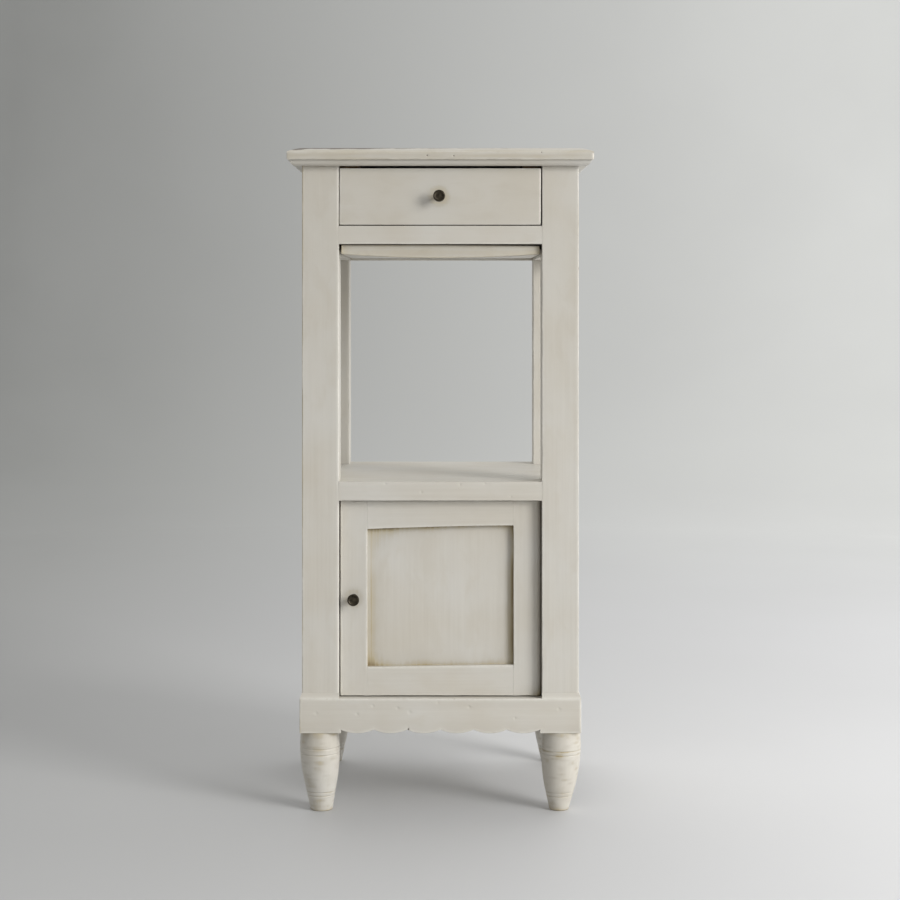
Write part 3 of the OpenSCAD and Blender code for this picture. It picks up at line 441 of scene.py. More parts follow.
def turned(name, outline, place, axis, hollows):
    """A piece from the lathe, with shallow hollows all round; the outline is pairs of radius and
    distance along the axis."""
    upright = Vector((0, 0, 1)).rotation_difference(axis)
    bm = bmesh.new()
    rings = []
    for radius, height in outline:
        ring = []
        for i in range(TURNED_STEPS if radius > 0 else 1):
            angle = 2 * math.pi * i / TURNED_STEPS
            around = Vector((math.cos(angle), math.sin(angle), 0))
            hollow = hollows * (0.5 + 0.5 * noise.noise((around * 0.02 + place) * 60))
            point = around * max(radius - hollow, 0) + Vector((0, 0, height))
            ring.append(bm.verts.new(upright @ point + place))
        rings.append(ring)
    for lower, upper in zip(rings, rings[1:]):
        for i in range(TURNED_STEPS):
            j = (i + 1) % TURNED_STEPS
            if len(lower) == 1:
                bm.faces.new((lower[0], upper[j], upper[i]))
            elif len(upper) == 1:
                bm.faces.new((lower[i], lower[j], upper[0]))
            else:
                bm.faces.new((lower[i], lower[j], upper[j], upper[i]))
    return piece_from(bm, name, TURNED_CREASE)


def mark(piece, name, measure):
    """Stores how worn or how dirty a turned piece is at each of its points."""
    store(piece, name, [measure(v.co) for v in piece.data.vertices])


def foot_outline(toe_r, lines_z):
    """The rounded toe, the body with its lines, and the spigot."""
    outline = [(0, 0)]
    for i in range(7):
        angle = math.radians(15 * i)
        height = FOOT_TOE_ROUND * (1 - math.cos(angle))
        outline.append((foot_radius(height, toe_r) - FOOT_TOE_ROUND * (1 - math.sin(angle)), height))
    fine, coarse = 0.4 * mm, 2.5 * mm
    height = FOOT_TOE_ROUND
    while height < foot_top_z - coarse:
        at_line = any(abs(height + coarse - z) < 2 * coarse for z in lines_z)
        height += fine if at_line else coarse
        cut = sum(math.exp(-((height - z) / FOOT_LINE_WIDTH) ** 2) for z in lines_z)
        outline.append((foot_radius(height, toe_r) - FOOT_LINE_DEPTH * min(cut, 1), height))
    outline += [(foot_radius(foot_top_z, toe_r), foot_top_z), (SPIGOT_R, foot_top_z)]
    outline += [(SPIGOT_R, foot_high.z - mm), (SPIGOT_R - mm, foot_high.z), (0, foot_high.z)]
    return outline


def foot_soil(lines_z):
    """Dirt sits here and there in the turned lines, round the toe and under the plinth."""
    def measure(point):
        in_line = max(math.exp(-((point.z - z) / FOOT_LINE_WIDTH) ** 2) for z in lines_z)
        broken = 0.5 + 0.9 * noise.noise(point * 70)
        at_top = math.exp(-(foot_top_z - point.z) / (5 * mm))
        smudge = max(0.0, noise.noise(Vector((point.x * 70, point.y * 70, point.z * 330))) - 0.1)
        blotch = max(0.0, noise.noise(point * 75))
        return (0.5 * max(broken, 0.0) * in_line + 0.4 * math.exp(-point.z / (3 * mm))
                + 0.3 * at_top + 0.4 * smudge + 0.22 * blotch)
    return measure


def toe_rub(point):
    """The toe's edge is rubbed by the floor."""
    return 0.9 * math.exp(-point.z / (2 * mm))


for side in ("left", "right"):
    for row in ("front", "rear"):
        which = row + "_" + side
        low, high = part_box("foot_" + which)
        axis_place = Vector(((low.x + high.x) / 2, (low.y + high.y) / 2, 0))
        foot = turned("worked_foot_" + which, foot_outline(FOOT_TOE_R[which], FOOT_LINES_Z[which]),
                      axis_place, Vector((0, 0, 1)), FOOT_HOLLOWS)
        mark(foot, "soil", foot_soil(FOOT_LINES_Z[which]))
        mark(foot, "arris", toe_rub)
        for v in foot.data.vertices:
            v.co.x += FOOT_LEAN[which] * max(0.0, 1 - v.co.z / FOOT_BELLY_Z)
        fit(foot, painted("Z"), "foot_" + which, "cabinet")

# Plinth
# The plinth boards are glued in a rebate round the posts, mitred at the front. The front board
# has a row of flat lobes along its lower edge, sawn and rasped, and knocks from brooms and shoes.
plinth_low, plinth_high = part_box("plinth_front")
PLINTH_KNOCKS = (
    (-0.0385, 0.1265, 3.6), (-0.0535, 0.1315, 3.0), (-0.0845, 0.1345, 3.0), (-0.1040, 0.1240, 2.8),
    (-0.1550, 0.1250, 3.2), (-0.0030, 0.1385, 2.6), (0.0360, 0.1330, 3.0), (0.0930, 0.1190, 2.4),
    (0.1480, 0.1300, 3.2),
)
PLINTH_CHIP = (-0.0400, 0.1052, 2.0)
PLINTH_KNOCK_DEPTH = 0.42 * mm
PLINTH_CHIP_DEPTH = 0.8 * mm
NEAR_FACE = 0.1 * mm


def plinth_arris(edge):
    """The lower outer edge with its lobes, and the edge below the bevel."""
    middle = middle_of(edge)
    at_front = abs(middle.y - plinth_low.y) < NEAR_FACE
    at_side = abs(abs(middle.x) - plinth_high.x) < NEAR_FACE
    is_plain = between(middle.z, plinth_low.z + 8 * mm, plinth_high.z - 9 * mm)
    return (at_front or at_side) and not is_plain


def knocked(face_y, spots, depth):
    """Dents in a front face; a spot is its place across, its height and its radius in mm."""
    return [((x, face_y, z), radius * mm, depth) for x, z, radius in spots]


def low_soil(point):
    """Splashes and floor dirt reach up the plinth."""
    return 0.1 * max(0.0, 1 - (point.z - plinth_low.z) / (16 * mm))


def front_plinth_soil(point):
    """At the front, the corner at the left end is painted darker too, as painted shade where its
    rounding turns away from the light.
    """
    corner = 0.8 * band(point.x - plinth_low.x, 1.0 * mm) * band(point.y - plinth_low.y, 3 * mm)
    return low_soil(point) + corner * (0.6 + noise.noise(point * 40))


knocks = knocked(plinth_low.y, PLINTH_KNOCKS, PLINTH_KNOCK_DEPTH)
knocks += knocked(plinth_low.y, [PLINTH_CHIP], PLINTH_CHIP_DEPTH)
corner_lines = [(0, plinth_low.x + d * mm) for d in (0.9, 1.8, 3.0)]
painted_board("plinth_front", "X", ease=1.3 * mm, pitch=9 * mm, soften=plinth_arris,
              dents=knocks, soil=front_plinth_soil, lines=corner_lines)
for side in ("left", "right"):
    painted_board("plinth_" + side, "Y", ease=1.3 * mm, soften=plinth_arris, soil=low_soil)
painted_board("plinth_back", "X", ease=0.8 * mm, soil=low_soil)

# Cupboard floor and blocks
# The floor is a pine board let in between the plinth and the posts. Rubbed glue blocks hold it
# from below and were never painted.
PINE_EARLY = (0.50, 0.33, 0.165)
PINE_LATE = (0.35, 0.195, 0.085)
PINE_FIBRES = (0.6, 0.43, 0.25)
PINE_AGED = (0.26, 0.17, 0.09)
PINE_DUST_AND_SHADE = (0.012, 0.008, 0.005)
RINGS_PER_M = (55.0, 2.2)
FIBRES_PER_M = (900.0, 18.0)


@cache
def pine(along):
    """Old unpainted pine: yellow-brown, with darker late wood in long streaks, and dust and painted
    shade making it nearly black in gaps and nooks.
    """
    material, tree, shader = new_finish("old_pine_" + along)
    rings = cloudy(tree, grain_space(tree, along, *RINGS_PER_M), distortion=0.6)
    late = calc(tree, "PINGPONG", calc(tree, "MULTIPLY", rings, 9.0), 1.0)
    fibres = cloudy(tree, grain_space(tree, along, *FIBRES_PER_M), detail=3.0)
    age = cloudy(tree, object_place(tree), 7.0, detail=4.0)
    tone = blend_colours(tree, spread(tree, late, 0.35, 0.95), PINE_EARLY, PINE_LATE)
    tone = blend_colours(tree, spread(tree, fibres, 0.35, 0.7, 0.0, 0.35), tone, PINE_FIBRES)
    tone = blend_colours(tree, spread(tree, age, 0.4, 0.72, 0.0, 0.5), tone, PINE_AGED)
    # Dust and painted shade: gaps and nooks turn nearly black by ambient occlusion
    nook_shade = wire(tree, "AmbientOcclusion", {"Distance": 9 * mm}, samples=4).outputs["AO"]
    tone = blend_colours(tree, spread(tree, nook_shade, 0.6, 0.3, 0.0, 0.95), tone, PINE_DUST_AND_SHADE)
    tree.links.new(tone, shader.inputs["Base Color"])
    tree.links.new(spread(tree, fibres, 0.3, 0.7, 0.6, 0.78), shader.inputs["Roughness"])
    height = calc(tree, "ADD", calc(tree, "MULTIPLY", late, 0.4), fibres)
    relief(tree, shader, height, 0.35, 0.15 * mm)
    shader.inputs["Specular IOR Level"].default_value = 0.3
    return material


def dress(node, material):
    """Gives a solid that is already right its finish."""
    for material_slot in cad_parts[node].material_slots:
        material_slot.material = material


painted_board("cupboard_floor", "X", ease=0.8 * mm, pitch=18 * mm)
dress("glue_blocks", pine("Y"))

# Panels and back boards
# Thin pine boards slid into the grooves of the posts, round the cupboard below and round the
# drawer above, and painted over with the rest.
for level in ("lower", "upper"):
    for side in ("side_left", "side_right", "back"):
        painted_board(level + "_" + side, "Z", ease=0.6 * mm, pitch=18 * mm, swell=0.3 * mm)

# Shelf
# The floor of the niche: four rails tenoned into the posts, and a board in their rebates. The
# front edge has been knocked by what was put on it.
shelf_front_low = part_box("shelf_front_rail")[0]
SHELF_KNOCKS = (
    (0.0245, 0.4105, 2.6), (0.0555, 0.4118, 2.2), (-0.024, 0.4010, 2.4), (-0.069, 0.4115, 2.2),
    (0.088, 0.3950, 2.0),
)
SHELF_KNOCK_DEPTH = 0.5 * mm
# The front edge is barely rubbed paler, so it carries little painted highlight
SHELF_EDGE_WEAR_AND_HIGHLIGHT = 0.1


def shelf_front_corner(point):
    """Tight where the rail meets the posts and the board."""
    at_board = point.y > shelf_front_low.y + 6 * mm
    at_post = abs(point.x) > post_inner_x - 2 * mm
    return TIGHT if at_board or at_post else 1.0


painted_board("shelf_front_rail", "X", ease=1.6 * mm, pitch=9 * mm, rounded=shelf_front_corner,
              wear=SHELF_EDGE_WEAR_AND_HIGHLIGHT, dents=knocked(shelf_front_low.y, SHELF_KNOCKS, SHELF_KNOCK_DEPTH))
painted_board("shelf_back_rail", "X", ease=1.0 * mm)
for side in ("left", "right"):
    painted_board("shelf_side_rail_" + side, "Y", ease=1.0 * mm)
painted_board("shelf_board", "X", ease=0.4 * mm, pitch=16 * mm)

# Drawer rail, runners and stops
# The rail under the drawer is painted with the front. Behind it, bare pine runners carry the
# drawer, kickers keep it from tipping, and two small stops end its way back.
STEEL_DARK = (0.17, 0.15, 0.13)
STEEL_LIGHT = (0.36, 0.35, 0.33)
HANDLED = 0.06


def metal(name, dark, light, polish, patch_scale, metallic=0.85):
    """Metal with a patina: dull patches, fine scratches and a roughness that follows them."""
    material, tree, shader = new_finish(name)
    place = object_place(tree)
    patina = cloudy(tree, place, patch_scale, detail=6.0, roughness=0.7)
    scratches = cloudy(tree, place, 6 * patch_scale, detail=3.0)
    tone = blend_colours(tree, spread(tree, patina, 0.38, 0.64), dark, light)
    tone = blend_colours(tree, spread(tree, scratches, 0.62, 0.75, 0.0, 0.3), tone, light)
    tree.links.new(tone, shader.inputs["Base Color"])
    tree.links.new(spread(tree, patina, 0.35, 0.65, polish + 0.16, polish),
                   shader.inputs["Roughness"])
    relief(tree, shader, calc(tree, "ADD", patina, scratches), 0.3, 0.08 * mm)
    shader.inputs["Metallic"].default_value = metallic
    return material


def gap_under_drawer(point):
    """The gap between drawer and rail is a fine line, worn wider at its two ends."""
    ends = band(point.x + post_inner_x, 9 * mm) + 0.6 * band(post_inner_x - point.x, 20 * mm)
    return min(1.0, 0.05 + ends)


def drawer_rail_corner(point):
    """Tight at the posts, and nearly square under the drawer."""
    if abs(point.x) > post_inner_x - 2 * mm:
        return TIGHT
    return gap_under_drawer(point) if point.z > rail_top_z - 4 * mm else 1.0


painted_board("drawer_rail", "X", ease=1.4 * mm, pitch=9 * mm, rounded=drawer_rail_corner,
              soil=HANDLED)
for node in ("runner_left", "runner_right", "kickers"):
    dress(node, pine("Y"))
dress("drawer_stops", pine("X"))
steel = metal("old_steel", STEEL_DARK, STEEL_LIGHT, 0.36, 500.0)
dress("kicker_screws", steel)

# Rails of the slide
# Two painted rails under the drawer runners. A tongue on each runs in a groove in the slide.
for side in ("left", "right"):
    dress("slide_rail_" + side, painted("Y"))

# Drawer
# A pine box with dovetailed corners, the front lapped over the sides. Only the front is painted,
# and its edges are rubbed where fingers catch it.
drawer_front_low, drawer_front_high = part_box("drawer_front")
SMUDGE_R = 9 * mm
SMUDGE_WIDTH = 4 * mm
DRAWER_SHIFT = 0.15 * mm
DRAWER_LEAN = 0.4 * mm
DRAWER_SAG = 0.22 * mm


def drawer_corner(point):
    """The front's back corners stay square over the dovetails."""
    if point.y > drawer_front_low.y + 4 * mm:
        return 0.1
    return gap_under_drawer(point) if point.z < drawer_front_low.z + 4 * mm else 1.0


def hang(point, rest):
    """The drawer sits a little to the left in its opening, more so at its lower edge, and that
    edge has sagged almost onto the rail."""
    low = (drawer_front_high.z - rest.z) / (drawer_front_high.z - drawer_front_low.z)
    return point - Vector((DRAWER_SHIFT + DRAWER_LEAN * low, 0, DRAWER_SAG * low ** 8))


def smudge_round(node, clean):
    """Where fingers reach round a knob they leave a faint ring; elsewhere it is as clean as said."""
    low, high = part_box(node)
    middle = (low + high) / 2

    def measure(point):
        away = math.hypot(point.x - middle.x, point.z - middle.z)
        return clean + 0.22 * math.exp(-((away - SMUDGE_R) / SMUDGE_WIDTH) ** 2)

    steps = [share * SMUDGE_WIDTH for share in range(-4, 5)]
    return measure, [(0, middle.x + d) for d in steps] + [(2, middle.z + d) for d in steps]


ring_soil, ring_lines = smudge_round("drawer_knob", 0.1)
painted_board("drawer_front", "X", "drawer", ease=1.3 * mm, pitch=9 * mm, rounded=drawer_corner,
              soil=ring_soil, bend=hang, lines=ring_lines)
for side in ("left", "right"):
    dress("drawer_side_" + side, pine("Y"))
dress("drawer_back", pine("X"))
dress("drawer_bottom", pine("X"))

# Slide
# A thin painted board that pulls out under the drawer. Its front edge has a glued nosing with
# rounded ends, whose lower edge bows down a little to the middle, for the fingers.
nosing_low, nosing_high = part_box("slide_nosing")
NOSING_LIFT = 0.7 * mm
NOSING_DROP = 0.6 * mm


def nosing_edge(edge):
    """The bowed lower front edge, and the short corners at both ends."""
    middle = middle_of(edge)
    at_front = abs(middle.y - nosing_low.y) < NEAR_FACE
    at_end = abs(abs(middle.x) - nosing_high.x) < NEAR_FACE
    return at_front or (at_end and middle.y < nosing_low.y + 8 * mm)


def lift(point, rest):
    """The nosing has crept up under the rail at its left, and hangs a little at its right."""
    share = (rest.z - nosing_low.z) / (nosing_high.z - nosing_low.z)
    right = max(0.0, rest.x / nosing_high.x + 0.1)
    climb = NOSING_LIFT - (NOSING_LIFT + NOSING_DROP) * right
    return point + Vector((0, 0, climb * share ** 2))


def finger_soil(point):
    """Fingers reach under the bowed edge to pull the slide out, and both ends are grimy."""
    under = math.exp(-(point.z - nosing_low.z) / (5 * mm))
    at_end = math.exp(-(nosing_high.x - abs(point.x)) / (4 * mm))
    return 0.16 + 0.2 * under + 0.25 * at_end


painted_board("slide_nosing", "X", "slide", ease=2.2 * mm, rub=1.5 * mm, pitch=6 * mm,
              soften=nosing_edge, bend=lift, soil=finger_soil)
painted_board("slide_board", "X", "slide", ease=0.5 * mm, pitch=18 * mm)
dress("slide_stop_pegs", pine("Z"))

# Door
# A framed pine door. The stile at the right is rounded about its pins, so that it turns inside
# the posts. Its panel lies back in a groove, and the frame's inner edges are no longer straight.
stile_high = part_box("door_stile_left")[1]
top_rail_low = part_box("door_rail_top")[0]
bottom_rail_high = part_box("door_rail_bottom")[1]
door_low, door_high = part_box("door_stile_right")
stile_in_x = -stile_high.x
opening_low_z, opening_high_z = bottom_rail_high.z, top_rail_low.z
stile_round_r = (door_high.y - door_low.y) / 2
pivot_x = door_high.x - stile_round_r
pivot_y = (door_low.y + door_high.y) / 2
RAIL_SAG = 4.4 * mm
RAIL_RISE = 2.6 * mm
BEND_REACH = 14 * mm
PAINT_BUILD = 0.95 * mm
STRIP_WIDTH = 8.2 * mm
STRIP_GROOVE = 4.6 * mm


def stile_corner(point):
    """Tight where the rails are tenoned in, open beside the panel."""
    at_rail = not between(point.z, opening_low_z + 2 * mm, opening_high_z - 2 * mm)
    return TIGHT if abs(point.x) < stile_in_x + 4 * mm and at_rail else 1.0


def rail_corner(point):
    """Tight where a door rail meets the stiles."""
    return TIGHT if abs(point.x) > stile_in_x - 2 * mm else 1.0


def rail_sag(x):
    """How far the lower edge of the top rail hangs down: most at the left."""
    return RAIL_SAG * share_between(x, stile_in_x, -stile_in_x) ** 1.5


def sag(point, rest):
    """Bends the lower edge of the top rail down."""
    near = max(0.0, 1 - (rest.z - top_rail_low.z) / BEND_REACH)
    return point - Vector((0, 0, rail_sag(rest.x) * near))


def rise(point, rest):
    """The upper edge of the bottom rail climbs towards the right."""
    share = share_between(rest.x, -stile_in_x, stile_in_x)
    near = max(0.0, 1 - (bottom_rail_high.z - rest.z) / BEND_REACH)
    return point + Vector((0, 0, RAIL_RISE * share * near))


def fatten(point, rest):
    """Paint has built up on the round edge of the hinge stile, as far as the turning door
    allows, and the front face runs flat until it meets that round."""
    away = Vector((rest.x - pivot_x, rest.y - pivot_y, 0))
    if rest.x <= pivot_x or away.length < 5 * mm:
        return point
    to_flat = stile_round_r * away.length / max(abs(away.y), 0.1 * mm)
    grown = min(stile_round_r + PAINT_BUILD, to_flat) - stile_round_r
    return point + away.normalized() * grown * (away.length / stile_round_r) ** 4


def panel_soil(point):
    """Grime lies round the panel: brown under the top rail and in the corners, yellow beside the left
    stile where an old strip once was, and brown in the groove at the right. The brown at the right
    and in the lower right corner is partly painted shade, deepening the shadow of the right stile."""
    uneven = 0.75 + 0.8 * noise.noise(Vector((point.x * 28, 0, point.z * 28)))
    near_top = opening_high_z - rail_sag(point.x) - point.z
    left = point.x + stile_in_x
    right = stile_in_x - point.x
    low = point.z - opening_low_z
    at_left = band(left, 60 * mm)
    grime_and_shade = 1.2 * band(near_top, 2.8 * mm) * (0.55 + 0.6 * at_left)
    grime_and_shade += 0.36 * band(near_top, 16 * mm) * at_left
    grime_and_shade += 0.55 * band(low, 3.2 * mm) + 0.2 * band(low, 12 * mm)
    # Painted shade with brown grime: the right stile's shadow on the panel, deepened at the right
    # edge and the lower right corner
    grime_and_shade += 1.2 * band(right, 3.2 * mm) + 0.25 * band(right, 9 * mm)
    grime_and_shade += 0.9 * band(right, 7 * mm) * band(low, 7 * mm)
    grime_and_shade += 0.4 * band(left, 9 * mm) * band(low, 6 * mm)
    if left < STRIP_WIDTH:
        grime_and_shade += 0.24 + 0.2 * (abs(left - STRIP_GROOVE) < 0.5 * mm)
    else:
        grime_and_shade += 0.2 * band(left - STRIP_WIDTH, 9 * mm)
    return min(1.0, grime_and_shade * uneven)


def low_corner_soil(point):
    """The lower end of the hinge stile is brown where shoes and mops touch it."""
    return 0.9 * band(door_high.x - point.x, 9 * mm) * band(point.z - door_low.z, 6 * mm)


panel_lines = [(0, -stile_in_x + d * mm) for d in (1, 2.6, 3.8, 4.3, 4.9, 5.4, 8.0, 8.5, 12, 20)]
panel_lines += [(0, stile_in_x - d * mm) for d in (0.6, 1.5, 3, 5, 8, 13)]
panel_lines += [(2, opening_high_z - d * mm) for d in (0.5, 2, 3.5, 5, 6.5, 8, 10, 13, 18)]
panel_lines += [(2, opening_low_z + d * mm) for d in (1, 2.2, 3.5, 5, 8, 12)]
ring_soil, ring_lines = smudge_round("door_knob", 0.03)
painted_board("door_stile_left", "Z", "door", ease=1.3 * mm, pitch=9 * mm, rounded=stile_corner,
              soil=ring_soil, lines=ring_lines)
low_lines = [(2, door_low.z + d * mm) for d in (2, 4, 7)] + [(0, door_high.x - 15 * mm)]
painted_board("door_stile_right", "Z", "door", ease=1.3 * mm, pitch=9 * mm, rounded=stile_corner,
              bend=fatten, soil=low_corner_soil, lines=low_lines)
for end, bend in (("top", sag), ("bottom", rise)):
    painted_board("door_rail_" + end, "X", "door", ease=1.2 * mm, pitch=9 * mm,
                  rounded=rail_corner, bend=bend)
painted_board("door_panel", "Z", "door", ease=0.8 * mm, soil=panel_soil, lines=panel_lines,
              swell=0.3 * mm)

# Door stop, pins and catch
# A painted strip stops the door. The door turns on two steel pins with a washer under it, and a
# brass ball catch in its edge snaps into a plate on the post.
BRASS_DARK = (0.30, 0.19, 0.07)
BRASS_LIGHT = (0.58, 0.41, 0.17)
painted_board("door_stop", "Z", ease=0.8 * mm)
dress("door_pivots", steel)
brass = metal("dull_brass", BRASS_DARK, BRASS_LIGHT, 0.3, 420.0)
dress("catch_strike", brass)
dress("ball_catch", brass)

# Knobs
# Two small turned knobs of bronze, gone dark, with a shallow dish in the face and a boss in the
# middle of it. A screw through the wood from the inside holds each one.
BRONZE_DARK = (0.022, 0.017, 0.010)
BRONZE_LIGHT = (0.068, 0.055, 0.035)
KNOB_HOLLOWS = 0.05 * mm
KNOB_OUTLINE = (
    (0, 9.4), (2.15, 9.4), (2.15, 0), (5.2, 0), (5.5, 0.3), (5.5, 1.3), (5.1, 1.75), (3.7, 2.4),
    (3.25, 3.2), (3.1, 5.0), (3.15, 7.2), (3.5, 9.0), (4.3, 10.6), (5.6, 11.9), (6.7, 12.9),
    (7.25, 13.9), (7.5, 15.0), (7.5, 16.2), (7.35, 16.9), (7.0, 17.5), (6.5, 17.85), (6.0, 17.9),
    (5.6, 17.65), (5.2, 17.3), (4.7, 17.0), (3.4, 16.85), (2.2, 16.85), (1.5, 17.0), (0.8, 17.15),
    (0, 17.2),
)
bronze = metal("dark_bronze", BRONZE_DARK, BRONZE_LIGHT, 0.44, 260.0, metallic=0.6)
for node, body in (("drawer_knob", "drawer"), ("door_knob", "door")):
    low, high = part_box(node)
    knob_foot = Vector(((low.x + high.x) / 2, high.y, (low.z + high.z) / 2))
    outline = [(radius * mm, height * mm) for radius, height in KNOB_OUTLINE]
    knob = turned("worked_" + node, outline, knob_foot, Vector((0, -1, 0)), KNOB_HOLLOWS)
    fit(knob, bronze, node, body)
    dress(node + "_screw", steel)

# Top board
# One wide pine board, with a long flat bevel along the front and both ends. Dowels in the posts
# hold it. Its upper edge is worn through to the dark wood, most at the left.
top_low, top_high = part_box("top_board")
BEVEL_RUN = 18 * mm
BEVEL_DROP = 5.5 * mm
BEVEL_CROWN = 0.6 * mm
NAIL_HOLES = ((-0.0165, 0.8205, 1.5), (0.0165, 0.8200, 1.5), (0.1255, 0.8245, 1.4))
NAIL_HOLE_DEPTH = 0.8 * mm
WORN_THROUGH = 0.26
WORN_END = 0.34
bevel_foot_z = top_high.z - BEVEL_DROP


def depth_inside(point):
    """Distance of a point of the top board from its nearest bevelled edge."""
    return min(point.x - top_low.x, top_high.x - point.x, point.y - top_low.y)


def top_arris(edge):
    """The two edges of the bevel."""
    middle = middle_of(edge)
    across = abs(edge.verts[0].co.z - edge.verts[1].co.z) > mm
    return middle.z > bevel_foot_z - 0.2 * mm and not across and middle.y < top_high.y - mm


def crown(point, rest):
    """The bevel is planed a little round."""
    depth = depth_inside(rest)
    if rest.z < bevel_foot_z or depth > BEVEL_RUN:
        return point
    return point + Vector((0, 0, BEVEL_CROWN * math.sin(math.pi * depth / BEVEL_RUN)))


def top_wear(point):
    """The upper edge of the bevel is rubbed more than the nose: paler, partly as a painted highlight.
    """
    return 0.7 if point.z < top_high.z - 1.5 * mm else 1.1


def top_bare(point):
    """Along the front, hands have worn the bevel's upper edge through to the dark wood, most at
    the left end and hardly at all at the right."""
    if point.z < bevel_foot_z + mm or point.y > top_low.y + 2 * BEVEL_RUN:
        return 0.0
    across = (point.x - top_low.x) / (top_high.x - top_low.x)
    at_left = share_between(across, WORN_END, WORN_THROUGH)
    most = at_left + (1 - at_left) * max(0.15, 0.78 - 0.62 * across)
    most *= min(1.0, 2.0 - (point.y - top_low.y) / BEVEL_RUN)
    beyond = depth_inside(point) - BEVEL_RUN
    reach = (2.5 if beyond > 0 else 7.5 + 3.5 * at_left) * mm
    reach *= 1.0 + 0.7 * noise.noise(point * 60)
    return most * math.exp(-(beyond / reach) ** 4)


def hand_soil(point):
    """The front edge is handled, and greyer for it."""
    return 0.2 if point.y < top_low.y + 6 * mm else 0.08


top_lines = [(0, top_low.x + x * mm) for x in range(18, 370, 6)]
for share in (0.25, 0.45, 0.6, 0.72, 0.82, 0.93, 1.1, 1.25):
    depth = share * BEVEL_RUN
    top_lines += [(1, top_low.y + depth), (0, top_low.x + depth), (0, top_high.x - depth)]
painted_board("top_board", "X", ease=3.0 * mm, rub=1.2 * mm, pitch=12 * mm, soften=top_arris,
              bend=crown, wear=top_wear, bare=top_bare, soil=hand_soil, lines=top_lines,
              dents=knocked(top_low.y, NAIL_HOLES, NAIL_HOLE_DEPTH))
dress("top_dowels", pine("Z"))

# Mouldings
# A flat fillet of pine, rounded away below, is glued and pinned under the top and mitred at the
# front corners. Old paint has filled the corner between it and the top.
moulding_low, moulding_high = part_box("moulding_front")
MOULDING_FLARE_FRONT = 3.0 * mm
MOULDING_FLARE_SIDE = 2.2 * mm
MOULDING_SOIL = 0.03
# The moulding's corners are rubbed paler, partly as a painted highlight, only a little
MOULDING_WEAR_AND_HIGHLIGHT = 0.2


def flare(point, rest):
    """Old paint fills the corner under the nose, so the face leans out to it."""
    share = (rest.z - moulding_low.z) / (moulding_high.z - moulding_low.z)
    run = front_face - moulding_low.y
    forward = share_between(rest.y, front_face, moulding_low.y)
    sideways = share_between(abs(rest.x), post_outer_x, post_outer_x + run)
    return point + share ** 2 * Vector((math.copysign(MOULDING_FLARE_SIDE * sideways, rest.x),
                                        -MOULDING_FLARE_FRONT * forward, 0))


for side, along in (("front", "X"), ("left", "Y"), ("right", "Y")):
    painted_board("moulding_" + side, along, ease=0.5 * mm, rub=1.0 * mm, bend=flare,
                  soil=MOULDING_SOIL, wear=MOULDING_WEAR_AND_HIGHLIGHT)

# Floor and backdrop
# A pale painted floor with a faint gloss, and a plain round backdrop that runs up from it. Both
# are painted lighter towards the window side and darker in front, where only a view from behind
# sees them: painted light and shade. Far off, the backdrop glows with a painted light.
ROOM_R = 4.6
COVE_R = 1.6
ROOM_HEIGHT = 4.5
ROOM_STEPS = 128
FLOOR_MIDDLE_R = 0.5
FLOOR_DIM = (0.36, 0.364, 0.364)
FLOOR_BRIGHT = (0.80, 0.805, 0.83)
FLOOR_CLOUDS = (0.5, 0.5, 0.5)
WALL = (0.30, 0.305, 0.30)
IN_FRONT = (0.17, 0.17, 0.17)
GLOW_DIM = (0.0, 0.0, 0.0)
GLOW_BRIGHT = (0.49, 0.495, 0.485)
GLOW_CLOUDS = (0.2, 0.2, 0.2)
GLOW_IN_FRONT = (0.06, 0.06, 0.06)


def pale_room():
    """The finish of floor and backdrop, with painted light and shade on it; far from the object it
    carries its own faint painted light.
    """
    material, tree, shader = new_finish("pale_room")
    place = object_place(tree)
    clouds = cloudy(tree, place, 1.3, detail=5.0)
    axes = wire(tree, "SeparateXYZ", {"Vector": place}).outputs
    across = axes["X"]
    in_front = spread(tree, axes["Y"], -0.5, -1.7)
    away = wire(tree, "VectorMath", {0: place}, operation="LENGTH").outputs["Value"]
    far = spread(tree, away, 1.4, 3.6)
    # Painted light and shade: lighter at the window side, darker at the left and in front
    tone = blend_colours(tree, spread(tree, across, -1.0, 1.0), FLOOR_DIM, FLOOR_BRIGHT)
    tone = blend_colours(tree, spread(tree, clouds, 0.3, 0.7, 0.0, 0.12), tone, FLOOR_CLOUDS)
    tone = blend_colours(tree, far, tone, WALL)
    tone = blend_colours(tree, in_front, tone, IN_FRONT)
    tree.links.new(tone, shader.inputs["Base Color"])
    # Painted light: a glow seen by the camera and in reflections, dark at the left, bright at the
    # right
    glow = blend_colours(tree, spread(tree, across, -1.5, 1.5), GLOW_DIM, GLOW_BRIGHT)
    glow = blend_colours(tree, spread(tree, clouds, 0.3, 0.7, 0.0, 0.16), glow, GLOW_CLOUDS)
    glow = blend_colours(tree, in_front, glow, GLOW_IN_FRONT)
    tree.links.new(glow, shader.inputs["Emission Color"])
    rays = wire(tree, "LightPath").outputs
    seen = calc(tree, "ADD", rays["Is Camera Ray"], rays["Is Glossy Ray"], clamp=True)
    seen = calc(tree, "ADD", seen, rays["Is Transmission Ray"], clamp=True)
    tree.links.new(calc(tree, "MULTIPLY", seen, far), shader.inputs["Emission Strength"])
    shader.inputs["Roughness"].default_value = 0.55
    shader.inputs["Specular IOR Level"].default_value = 0.25
    return material


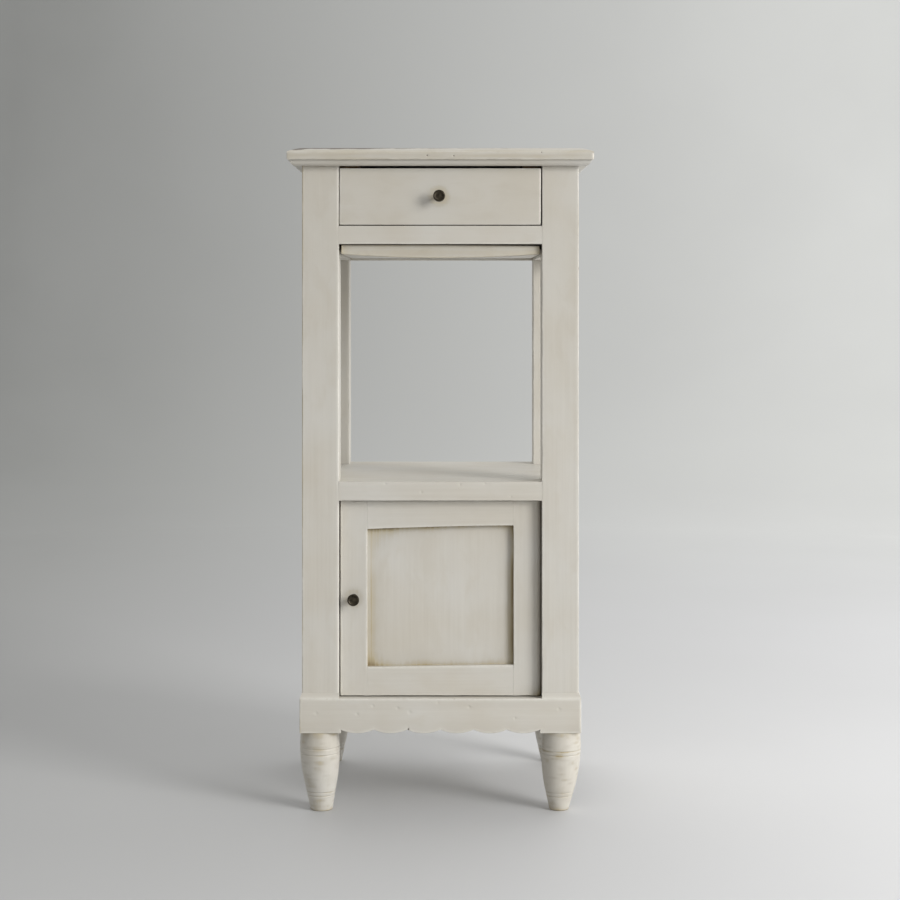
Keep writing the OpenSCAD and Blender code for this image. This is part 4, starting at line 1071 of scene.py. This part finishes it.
def room_ring(name, outline, material, filled=False):
    """A round floor or wall, seen from inside; filled closes its first ring."""
    bm = bmesh.new()
    turns = [2 * math.pi * i / ROOM_STEPS for i in range(ROOM_STEPS)]
    rings = [[bm.verts.new((r * math.cos(turn), r * math.sin(turn), z)) for turn in turns]
             for r, z in outline]
    if filled:
        bm.faces.new(rings[0])
    for lower, upper in zip(rings, rings[1:]):
        for i in range(ROOM_STEPS):
            j = (i + 1) % ROOM_STEPS
            bm.faces.new((lower[i], upper[i], upper[j], lower[j]))
    ring = piece_from(bm, name)
    ring.data.materials.append(material)
    return ring


room_finish = pale_room()
room_ring("floor", [(FLOOR_MIDDLE_R, 0), (ROOM_R - COVE_R, 0)], room_finish, filled=True)
cove = [(ROOM_R - COVE_R + COVE_R * math.sin(math.radians(a)),
         COVE_R * (1 - math.cos(math.radians(a)))) for a in range(0, 91, 5)]
backdrop = room_ring("backdrop", cove + [(ROOM_R, ROOM_HEIGHT)], room_finish)
backdrop.visible_diffuse = False
backdrop.visible_shadow = False

# Light and camera
# One tall soft lamp far off at the right in front, as a window, a weaker one nearer on the same
# side, and a pale surround that is brighter at the right and behind. The camera looks straight at
# the front, from below the drawer.
LAMP_AIM = Vector((0, 0, 0.42))
WINDOW_WHITE = (1.0, 0.99, 0.965)
SURROUND_LEFT = (0.56, 0.553, 0.53)
SURROUND_RIGHT = (1.0, 1.0, 0.99)


def window(name, azimuth, distance, height, width, tall, energy):
    """A soft upright lamp round the object; azimuth is measured from the front to the right."""
    place = Vector((distance * math.sin(math.radians(azimuth)),
                    -distance * math.cos(math.radians(azimuth)), height))
    lamp = bpy.data.objects.new(name, bpy.data.lights.new(name, "AREA"))
    lamp.data.shape = "RECTANGLE"
    lamp.data.size = width
    lamp.data.size_y = tall
    lamp.data.energy = energy
    lamp.data.color = WINDOW_WHITE
    lamp.location = place
    lamp.rotation_euler = (place - LAMP_AIM).to_track_quat("Z", "Y").to_euler()
    lamp.visible_camera = False
    bpy.context.scene.collection.objects.link(lamp)


window("key_lamp", azimuth=50, distance=6.2, height=2.5, width=2.2, tall=2.8, energy=255)
window("side_lamp", azimuth=60, distance=2.0, height=0.9, width=1.2, tall=1.2, energy=9)

surround = bpy.data.worlds.new("surround")
surround.use_nodes = True
sky = surround.node_tree
sky_light = sky.nodes["Background"].inputs
towards = wire(sky, "TexCoord").outputs["Generated"]
heading = wire(sky, "SeparateXYZ", {"Vector": towards}).outputs
pale = blend_colours(sky, spread(sky, heading["X"], -1.0, 1.0), SURROUND_LEFT, SURROUND_RIGHT)
sky.links.new(pale, sky_light["Color"])
sky.links.new(spread(sky, heading["Y"], 0.0, 0.8, 0.62, 1.95), sky_light["Strength"])
bpy.context.scene.world = surround

camera = bpy.data.objects.new("camera", bpy.data.cameras.new("camera"))
camera.data.lens = 80
camera.data.sensor_width = 36
camera.data.shift_y = -0.171
camera.location = (0.012, -2.645, 0.646)
camera.rotation_euler = (math.radians(90), 0, 0)
bpy.context.scene.collection.objects.link(camera)
bpy.context.scene.camera = camera
bpy.context.scene.view_settings.view_transform = "Standard"
